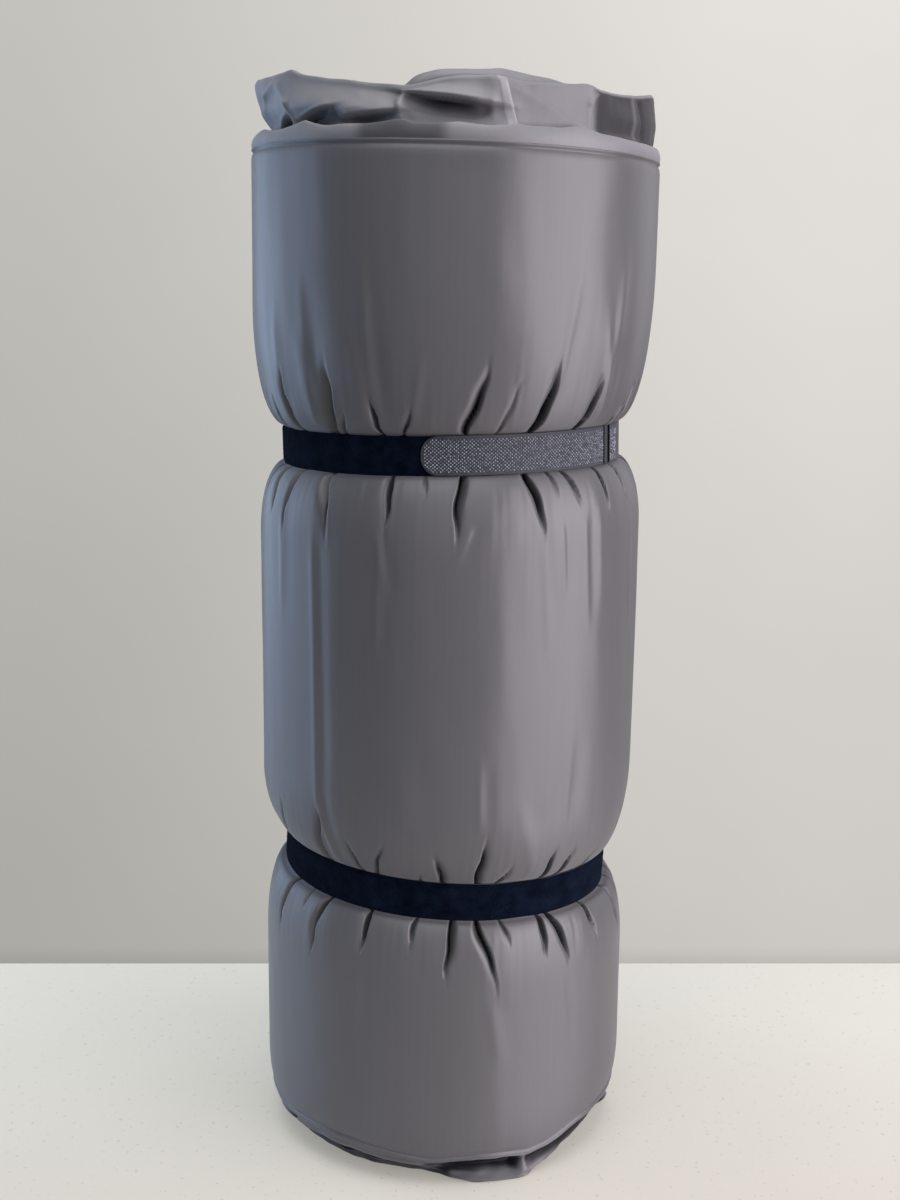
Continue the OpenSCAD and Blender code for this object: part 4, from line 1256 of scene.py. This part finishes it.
def tapeWeaveMaterial(name, dark, light, rough, ribs, gloss=0.55):
    material, tree, shader = newMaterial(name, Sheen_Weight=0.35 * gloss, Specular_IOR_Level=gloss)
    cloth = clothPlace(tree)
    threads = placed(tree, weave, {"Vector": cloth, "Warp": ribs, "Weft": ribs * 1.6})
    clouds = cloudy(tree, cloth, 160.0, contrast=1.2)
    colour = blendColours(tree, clouds, dark, light)
    # painted shade between the threads, darker where the weave is low
    between = ranged(tree, threads["Height"], 0.45, 0.0)
    feed(tree, shader, Base_Color=blendColours(tree, between, colour, (0.005, 0.005, 0.006)),
         Roughness=ranged(tree, clouds, rough - 0.06, rough + 0.06))
    bumped(tree, shader, 0.7, 0.00025, threads["Height"])
    return material


def pileMaterial():
    material, tree, shader = newMaterial("loopPile", Roughness=0.9, Sheen_Weight=0.05, Sheen_Roughness=0.4,
                                         Sheen_Tint=(0.45, 0.65, 1.0, 1.0), Specular_IOR_Level=0.04)
    cloth = clothPlace(tree)
    fine = cloudy(tree, cloth, 1500.0, detail=4.0, contrast=1.8)
    worn = cloudy(tree, cloth, 90.0, detail=2.0, contrast=1.2)
    mix = sums(tree, "MULTIPLY", fine, worn)
    feed(tree, shader, Base_Color=blendColours(tree, mix, (0.0008, 0.0022, 0.009), (0.012, 0.022, 0.052)))
    bumped(tree, shader, 1.0, 0.0005, fine)
    return material


def hookMaterial():
    material, tree, shader = newMaterial("hookNylon", Specular_IOR_Level=0.6)
    speck = cloudy(tree, clothPlace(tree), 700.0, detail=1.0, contrast=2.5)
    feed(tree, shader, Base_Color=blendColours(tree, speck, (0.14, 0.15, 0.19), (0.46, 0.49, 0.58)),
         Roughness=ranged(tree, speck, 0.42, 0.26))
    return material


# The hem across the tab: grey in the middle, dark along its two edges: the dark rows of stitches there, with
# painted shade of the grooves beside them
def hemMaterial():
    material, tree, shader = newMaterial("hookHemWeave", Roughness=0.75, Specular_IOR_Level=0.2)
    cloth = clothPlace(tree)
    middle = tape["hem"] / 2
    along = put(tree, "ShaderNodeSeparateXYZ", {0: cloth}).outputs[0]
    aside = sums(tree, "ABSOLUTE", sums(tree, "SUBTRACT", along, middle))
    line = ranged(tree, aside, 0.0, 1.0, middle - 2.0 * mm, middle - 1.4 * mm)
    fine = cloudy(tree, cloth, 900.0, contrast=1.6)
    grey = blendColours(tree, fine, (0.030, 0.032, 0.042), (0.085, 0.088, 0.105))
    feed(tree, shader, Base_Color=blendColours(tree, line, grey, (0.004, 0.004, 0.007)))
    return material


ribbonCloth = tapeWeaveMaterial("ribbonWeave", (0.060, 0.062, 0.068), (0.095, 0.097, 0.105), 0.55, 1100.0)
hookBase = tapeWeaveMaterial("hookBaseWeave", (0.034, 0.038, 0.054), (0.062, 0.067, 0.090), 0.5, 1300.0, 0.5)
hookHem = hemMaterial()
loopPile = pileMaterial()
hookNylon = hookMaterial()
print("materials: tapes ready")


def buildRibbon(key):
    r = straps[key]["r"]
    start, finish = -strapDegrees(tape["foldGap"], r), 360 - strapDegrees(tape["freeEnd"], r)
    piece = tapePiece(key + "Ribbon", key, start, finish, r, tape["ribbonColumns"], ribbonSection,
                      ribbonCloth)
    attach(piece, "roll")
    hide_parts(key + "_ribbon")


def buildLoopTape(key, seed):
    under = straps[key]["r"]
    r = under + tape["ribbonT"] + tape["sewn"]
    start, finish = strapDegrees(tape["bareRibbon"], under), 360 - strapDegrees(tape["freeEnd"], under)
    count = int(math.radians(finish - start) * r / tape["pileStep"])
    piece = tapePiece(key + "LoopTape", key, start, finish, r, count, loopSection(seed), loopPile)
    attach(piece, "roll")
    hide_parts(key + "_loop_tape")


# Places of the hooks, row by row, on a tape whose half width is halfAt(u)
def hookPlaces(length, halfAt, roundTip, rng):
    first, last = (tape["hem"], length) if roundTip else (0.0, tape["rootHooks"])
    margin, endMargin = tape["hookMargins"]
    places = []
    for i in range(int((length - endMargin) / tape["hookPitch"])):
        at = margin + i * tape["hookPitch"]
        if at < first or at > last:
            continue
        room = min(tape["hookHalf"], float(halfAt(np.array([at + tape["hookSide"]]))[0]) - tape["hookEdge"])
        for j in range(-tape["hooksAside"], tape["hooksAside"] + 1):
            aside = (j + (0.5 if i % 2 else 0)) * tape["hookApart"]
            if abs(aside) < room:
                places.append((at, aside))
    places = np.array(places)
    return places + rng.uniform(-tape["hookStray"], tape["hookStray"], places.shape) * mm


# Hook tape: a woven base, and rows of small hooks standing on it
def hookTape(name, key, start, finish, r, roundTip, seed):
    way = 1 if finish > start else -1
    length = abs(finish - start)
    half = strapHalf * 0.985

    def halfAt(u):
        if not roundTip:
            return half + 0 * u
        past = np.clip((u - (length - half)) / half, 0, 0.985)
        return half * np.power(1 - past ** tape["tipRound"], 1 / tape["tipRound"])

    def placeOf(u, out, h):
        return strapSpot(key, np.degrees((start + way * u) / r), r + out, h)
    u = np.linspace(0, length, int(length / tape["hookColumns"]))
    hem, groove = 0 * u, 0 * u
    if roundTip:      # a rounded tip, and a hem across the tab beside its fold
        tip = length - half + half * np.sin(np.linspace(0, 1, tape["tipColumns"]) * math.pi / 2)
        u = np.concatenate([u[u < length - half], tip])
        hem = ease(u / (1.2 * mm)) * ease((tape["hem"] - 0.6 * mm - u) / (1.2 * mm))
        groove = np.exp(-((u - tape["hem"]) / (0.5 * mm)) ** 2)
    across = np.array([-1, -0.985, -0.93, -0.5, 0, 0.5, 0.93, 0.985, 1, 0.96, 0, -0.96])
    over = np.array([0.25, 0.52, 0.48, 0.45, 0.45, 0.45, 0.48, 0.52, 0.25, 0.0, 0.0, 0.0])
    h = across[:, None] * halfAt(u)[None, :]
    lift = tape["uneven"] * unevenness(seed, 6, 30 * mm, 90 * mm)(u, 0 * u)
    onTop = (over > 0.1)[:, None]
    out = over[:, None] * mm + onTop * (lift + tape["hemHigh"] * hem - tape["groove"] * groove)[None, :]
    points = placeOf(u[None, :], out, h)
    cols = len(u)
    flip = (straps[key]["way"] * way) > 0
    faces = tubeFaces(len(across), cols, flip)
    uv = np.stack(np.broadcast_arrays(u[None, :], h), axis=-1)
    rng = np.random.default_rng(seed)
    centres = hookPlaces(length, halfAt, roundTip, rng)
    lean = rng.uniform(-tape["hookLean"], tape["hookLean"], len(centres)) * mm
    # each hook is a small block in three levels that narrows and leans
    corner = np.array([(-1, -1), (1, -1), (1, 1), (-1, 1)]) * tape["hookSide"]
    low = centres[:, None, :] + corner[None]
    mid = centres[:, None, :] + corner[None] * np.array([0.8, 1.0])
    top = centres[:, None, :] + corner[None] * np.array([0.55, 0.7])
    mid[..., 0] += lean[:, None] * 0.5
    top[..., 0] += lean[:, None] + 0.1 * mm
    high = tape["hookHigh"]
    levels = [(low, 0.42 * mm), (mid, 0.45 * mm + high * 0.6), (top, 0.45 * mm + high)]
    hooks = np.stack([placeOf(c[..., 0], out, c[..., 1]) for c, out in levels], axis=1)
    hookFirst = len(faces)
    for k in range(len(centres)):
        b = points[..., 0].size + 12 * k
        quads = [(b + level + c, b + level + (c + 1) % 4, b + level + 4 + (c + 1) % 4, b + level + 4 + c)
                 for level in (0, 4) for c in range(4)] + [(b + 8, b + 9, b + 10, b + 11)]
        faces += quads if flip else [quad[::-1] for quad in quads]
    allPoints = np.concatenate([points.reshape(-1, 3), hooks.reshape(-1, 3)])
    allUv = np.concatenate([uv.reshape(-1, 2), np.tile(centres[:, None, :], (1, 12, 1)).reshape(-1, 2)])
    piece = pieceFrom(name, allPoints, faces, allUv, hookBase)
    piece.data.materials.append(hookNylon)
    piece.data.materials.append(hookHem if roundTip else ribbonCloth)
    index = np.zeros(len(faces), dtype=np.int32)
    index[hookFirst:] = 1
    for k in range(hookFirst):      # the tab's hem, and the root's plain end
        at = u[[v % cols for v in faces[k]]].mean()
        if (roundTip and at < tape["hem"]) or (not roundTip and at > tape["rootHooks"] + 1 * mm):
            index[k] = 2
    piece.data.polygons.foreach_set("material_index", index)
    return piece


# The tab that peels, and its root that is sewn down on the other side of the seam
def buildHookTab(key, seed):
    r = straps[key]["r"] + tape["ribbonT"] + tape["sewn"] + tape["loopT"] + tape["soft"]
    tab = hookTape(key + "HookTab", key, -tape["foldGap"], -tape["tabLength"], r, True, seed)
    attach(tab, key + "_tab")
    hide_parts(key + "_hook_tab")
    r = r + tape["sewn"]
    root = hookTape(key + "TabRoot", key, tape["foldGap"], tape["rootLength"], r, False, seed + 1)
    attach(root, "roll")
    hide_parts(key + "_tab_root")


# Rows of stitches: short round threads that dip in at their ends
stitch = {"rows": (3 * mm, 6 * mm), "pitch": 3.5 * mm, "count": 6, "length": 3.1 * mm, "thread": 0.24 * mm,
          "dip": 0.5 * mm, "sunk": 0.1 * mm, "sides": 6, "steps": 8}


def buildStitches(key):
    r = straps[key]["r"]
    outR = r + tape["ribbonT"] + tape["sewn"] + tape["loopT"] + tape["soft"] + tape["hookT"]
    sides, steps = stitch["sides"], stitch["steps"]
    w = 2 * math.pi * np.arange(sides)[None, :] / sides
    f = np.arange(steps + 1)[:, None] / steps
    radius = outR - stitch["dip"] * (2 * f - 1) ** 4 - stitch["sunk"] + stitch["thread"] * np.sin(w)
    threads, faces = [], []
    for along in stitch["rows"]:
        theta = strapDegrees(tape["foldGap"] + along, r) + np.degrees(stitch["thread"] * np.cos(w) / r)
        for i in range(stitch["count"]):
            h = (i - (stitch["count"] - 1) / 2) * stitch["pitch"] + (f - 0.5) * stitch["length"]
            base = len(threads) * f.size * sides
            threads.append(strapSpot(key, theta, radius, h).reshape(-1, 3))
            for a in range(steps):
                low, high = base + a * sides, base + (a + 1) * sides
                for b in range(sides):
                    c = (b + 1) % sides
                    faces.append((low + b, low + c, high + c, high + b))
            faces.append(tuple(base + b for b in range(sides))[::-1])
            faces.append(tuple(base + steps * sides + b for b in range(sides)))
    if straps[key]["way"] > 0:
        faces = [face[::-1] for face in faces]
    piece = pieceFrom(key + "Stitches", np.concatenate(threads), faces, None, threadMaterial)
    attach(piece, "roll")
    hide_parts(key + "_stitches")


def makeThread():
    material, tree, shader = newMaterial("sewingThread", Roughness=0.5)
    twist = put(tree, "ShaderNodeTexWave", {"Vector": objectPlace(tree), "Scale": 900.0, "Distortion": 1.0},
                bands_direction="DIAGONAL").outputs[1]
    feed(tree, shader, Base_Color=blendColours(tree, twist, (0.05, 0.05, 0.055), (0.12, 0.12, 0.13)))
    bumped(tree, shader, 0.5, 0.0001, twist)
    return material


threadMaterial = makeThread()
for seed, key in enumerate(straps):
    buildRibbon(key)
    buildLoopTape(key, 400 + 20 * seed)
    buildHookTab(key, 500 + 20 * seed)
    buildStitches(key)
print("straps built")


# Valves: the carried-over parts in moulded plastic, film and rubber
def plasticMaterial(name, dark, light, rough, grain):
    material, tree, shader = newMaterial(name, Specular_IOR_Level=0.5)
    place = objectPlace(tree)
    cloud = cloudy(tree, place, 60.0, contrast=1.2)
    fine = cloudy(tree, place, grain, detail=2.0, contrast=1.5)
    feed(tree, shader, Base_Color=blendColours(tree, cloud, dark, light),
         Roughness=ranged(tree, sums(tree, "MULTIPLY", fine, cloud), rough - 0.05, rough + 0.15))
    bumped(tree, shader, 0.3, 0.00015, fine)
    return material


finishes = {
    "flange": plasticMaterial("flangeFilm", (0.10, 0.10, 0.11), (0.14, 0.14, 0.15), 0.3, 900.0),
    "flap": plasticMaterial("flapRubber", (0.02, 0.02, 0.02), (0.035, 0.035, 0.035), 0.6, 2500.0),
    "valve": plasticMaterial("valvePlastic", (0.045, 0.047, 0.052), (0.065, 0.067, 0.073), 0.38, 1800.0),
}


def finishValves():
    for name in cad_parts:
        if "valve" in name:
            kind = next(kind for kind in finishes if kind in name)
            for place in bpy.data.objects[name].material_slots:
                place.material = finishes[kind]


finishValves()
print("valves finished")


# Floor, backdrop, lights and camera
studio = {
    "floor": (0.64, 0.61, 0.56), "floorSize": 6.0, "worn": 0.95, "speck": (0.25, 0.24, 0.22),
    # beyond the lamps' reach the floor takes an even tone of its own
    "reach": (0.55, 0.95), "farFloor": 0.04, "glowDepth": (-0.35, 0.2),
    "floorGlow": (0.17, 0.155, 0.125), "backGlow": (0.32, 0.325, 0.285), "farGlow": (0.70, 0.685, 0.64),
    "wallY": 228 * mm, "wallSize": 3.0, "wallHeight": 0.8,
    # the wall's painted light: darker to the left and low down, lighter to the right and higher up, with
    # painted shade along its foot
    "wallLeft": (0.50, 0.495, 0.465), "wallRight": (0.745, 0.715, 0.68), "wallBlend": (-0.42, 0.36),
    "wallLow": 0.80, "wallHigh": 1.07, "wallFootShade": (0.86, 0.016),
    "beyond": (0.60, 0.585, 0.545), "ambient": (0.80, 0.86, 1.0), "ambientPower": 0.22,
}


def buildFloor():
    size = studio["floorSize"]
    points = np.array([[(x, y, 0.0) for x in (-size, size)] for y in (-size, size)])
    material, tree, shader = newMaterial(
        "paleFloor", Roughness=0.9, Specular_IOR_Level=0.0, Emission_Strength=1.0)
    place = objectPlace(tree)
    marks = cloudy(tree, place, 6.0, detail=4.0)
    specks = sums(tree, "GREATER_THAN", cloudy(tree, place, 210.0, detail=1.0), 0.90)
    tone = blendColours(tree, marks, studio["floor"], tuple(c * studio["worn"] for c in studio["floor"]))
    tone = blendColours(tree, ranged(tree, specks, 0.0, 0.30), tone, studio["speck"])
    distance = put(tree, "ShaderNodeVectorMath", {0: place}, operation="LENGTH").outputs["Value"]
    far = ranged(tree, distance, 0.0, 1.0, *studio["reach"], smooth=True)
    farTone = tuple(c * studio["farFloor"] for c in studio["floor"])
    depth = put(tree, "ShaderNodeSeparateXYZ", {0: place}).outputs[1]
    depth = ranged(tree, depth, 0.0, 1.0, *studio["glowDepth"], smooth=True)
    glow = blendColours(tree, depth, studio["floorGlow"], studio["backGlow"])
    glow = blendColours(tree, far, glow, studio["farGlow"])
    path = put(tree, "ShaderNodeLightPath").outputs
    feed(tree, shader, Base_Color=blendColours(tree, far, tone, farTone),
         Emission_Color=blendColours(tree, path["Is Camera Ray"], (0, 0, 0), glow))
    bumped(tree, shader, 0.1, 0.0005, marks)
    floor = gridPiece("floor", points, points[..., :2], material)


# The wall is seen from the front only and takes no part in the lighting
def buildWall():
    size, y = studio["wallSize"], studio["wallY"]
    points = np.array([[(x, y, z) for x in (-size, size)] for z in (0.0, size)])
    material = bpy.data.materials.new("paleWall")
    material.use_nodes = True
    tree = material.node_tree
    tree.nodes.clear()
    place = objectPlace(tree)
    apart = put(tree, "ShaderNodeSeparateXYZ", {0: place}).outputs
    # painted light across the wall, lighter to the right and higher up, and painted shade along its foot
    sideways = ranged(tree, apart[0], 0.0, 1.0, *studio["wallBlend"], smooth=True)
    higher = ranged(tree, apart[2], studio["wallLow"], studio["wallHigh"], 0.0, studio["wallHeight"])
    low = ranged(tree, apart[2], studio["wallFootShade"][0], 1.0, 0.0, studio["wallFootShade"][1])
    clouds = ranged(tree, cloudy(tree, place, 3.0), 0.97, 1.03)
    seen = put(tree, "ShaderNodeEmission", {
        "Color": blendColours(tree, sideways, studio["wallLeft"], studio["wallRight"]),
        "Strength": sums(tree, "MULTIPLY", sums(tree, "MULTIPLY", higher, low), clouds)}).outputs[0]
    back = put(tree, "ShaderNodeNewGeometry").outputs["Backfacing"]
    clear = put(tree, "ShaderNodeBsdfTransparent").outputs[0]
    mixed = put(tree, "ShaderNodeMixShader", {0: back, 1: seen, 2: clear}).outputs[0]
    put(tree, "ShaderNodeOutputMaterial", {0: mixed})
    wallPiece = gridPiece("backWall", points, points[..., :2], material)
    for kind in ("diffuse", "glossy", "transmission", "volume_scatter", "shadow"):
        setattr(wallPiece, "visible_" + kind, False)


def buildWorld():
    world = bpy.data.worlds.new("paleRoom")
    bpy.context.scene.world = world
    world.use_nodes = True
    tree = world.node_tree
    tree.nodes.clear()
    path = put(tree, "ShaderNodeLightPath").outputs
    lit, seen = [
        put(tree, "ShaderNodeBackground", {"Color": (*colour, 1), "Strength": strength}).outputs[0]
        for colour, strength in ((studio["ambient"], studio["ambientPower"]), (studio["beyond"], 1.0))]
    mixed = put(tree, "ShaderNodeMixShader", {0: path["Is Camera Ray"], 1: lit, 2: seen}).outputs[0]
    put(tree, "ShaderNodeOutputWorld", {0: mixed})


lampTarget = (0, 0, 0.36)
lamps = {
    # name: angle round the roll, distance, height, size across and up, power, colour
    "window": (61, 1.7, 0.40, 1.9, 1.35, 39.0, (1.0, 0.92, 0.965)),
    "side": (130, 1.9, 1.0, 1.1, 1.4, 2.6, (1.0, 0.93, 0.97)),
    "coolBack": (-113, 1.6, 0.25, 2.0, 1.4, 15.5, (0.52, 0.70, 1.0)),
    "coolSide": (-86, 1.9, 0.6, 1.0, 1.8, 2.2, (0.55, 0.72, 1.0)),
    "front": (-6, 2.6, 1.7, 1.6, 1.2, 3.0, (1.0, 0.98, 0.95)),
    "overhead": (-10, 0.5, 2.3, 1.6, 1.6, 23.0, (1.0, 0.99, 0.97)),
}


# Turned so that it looks at the target
def aimed(thing, target):
    way = Vector(target) - thing.location
    thing.rotation_euler = way.to_track_quat("-Z", "Y").to_euler()


def buildLamps():
    for name, (phi, distance, height, across, up, power, colour) in lamps.items():
        lamp = bpy.data.lights.new(name, "AREA")
        lamp.shape, lamp.size, lamp.size_y = "RECTANGLE", across, up
        lamp.energy, lamp.color = power, colour
        thing = bpy.data.objects.new(name, lamp)
        bpy.context.scene.collection.objects.link(thing)
        thing.visible_camera = False
        a = math.radians(phi)
        thing.location = (distance * math.sin(a), -distance * math.cos(a), height)
        aimed(thing, lampTarget)


view = {"place": (0.0058, -1.058, 0.586), "down": 11.3, "lens": 46.5}


def buildCamera():
    camera = bpy.data.cameras.new("camera")
    camera.lens, camera.sensor_width, camera.clip_start = view["lens"], 36, 0.02
    thing = bpy.data.objects.new("camera", camera)
    bpy.context.scene.collection.objects.link(thing)
    thing.location = view["place"]
    thing.rotation_euler = (math.radians(90 - view["down"]), 0, 0)
    bpy.context.scene.camera = thing


buildFloor()
buildWall()
buildWorld()
buildLamps()
buildCamera()
bpy.context.scene.view_settings.view_transform = "Standard"
print("stage, lamps and camera ready")
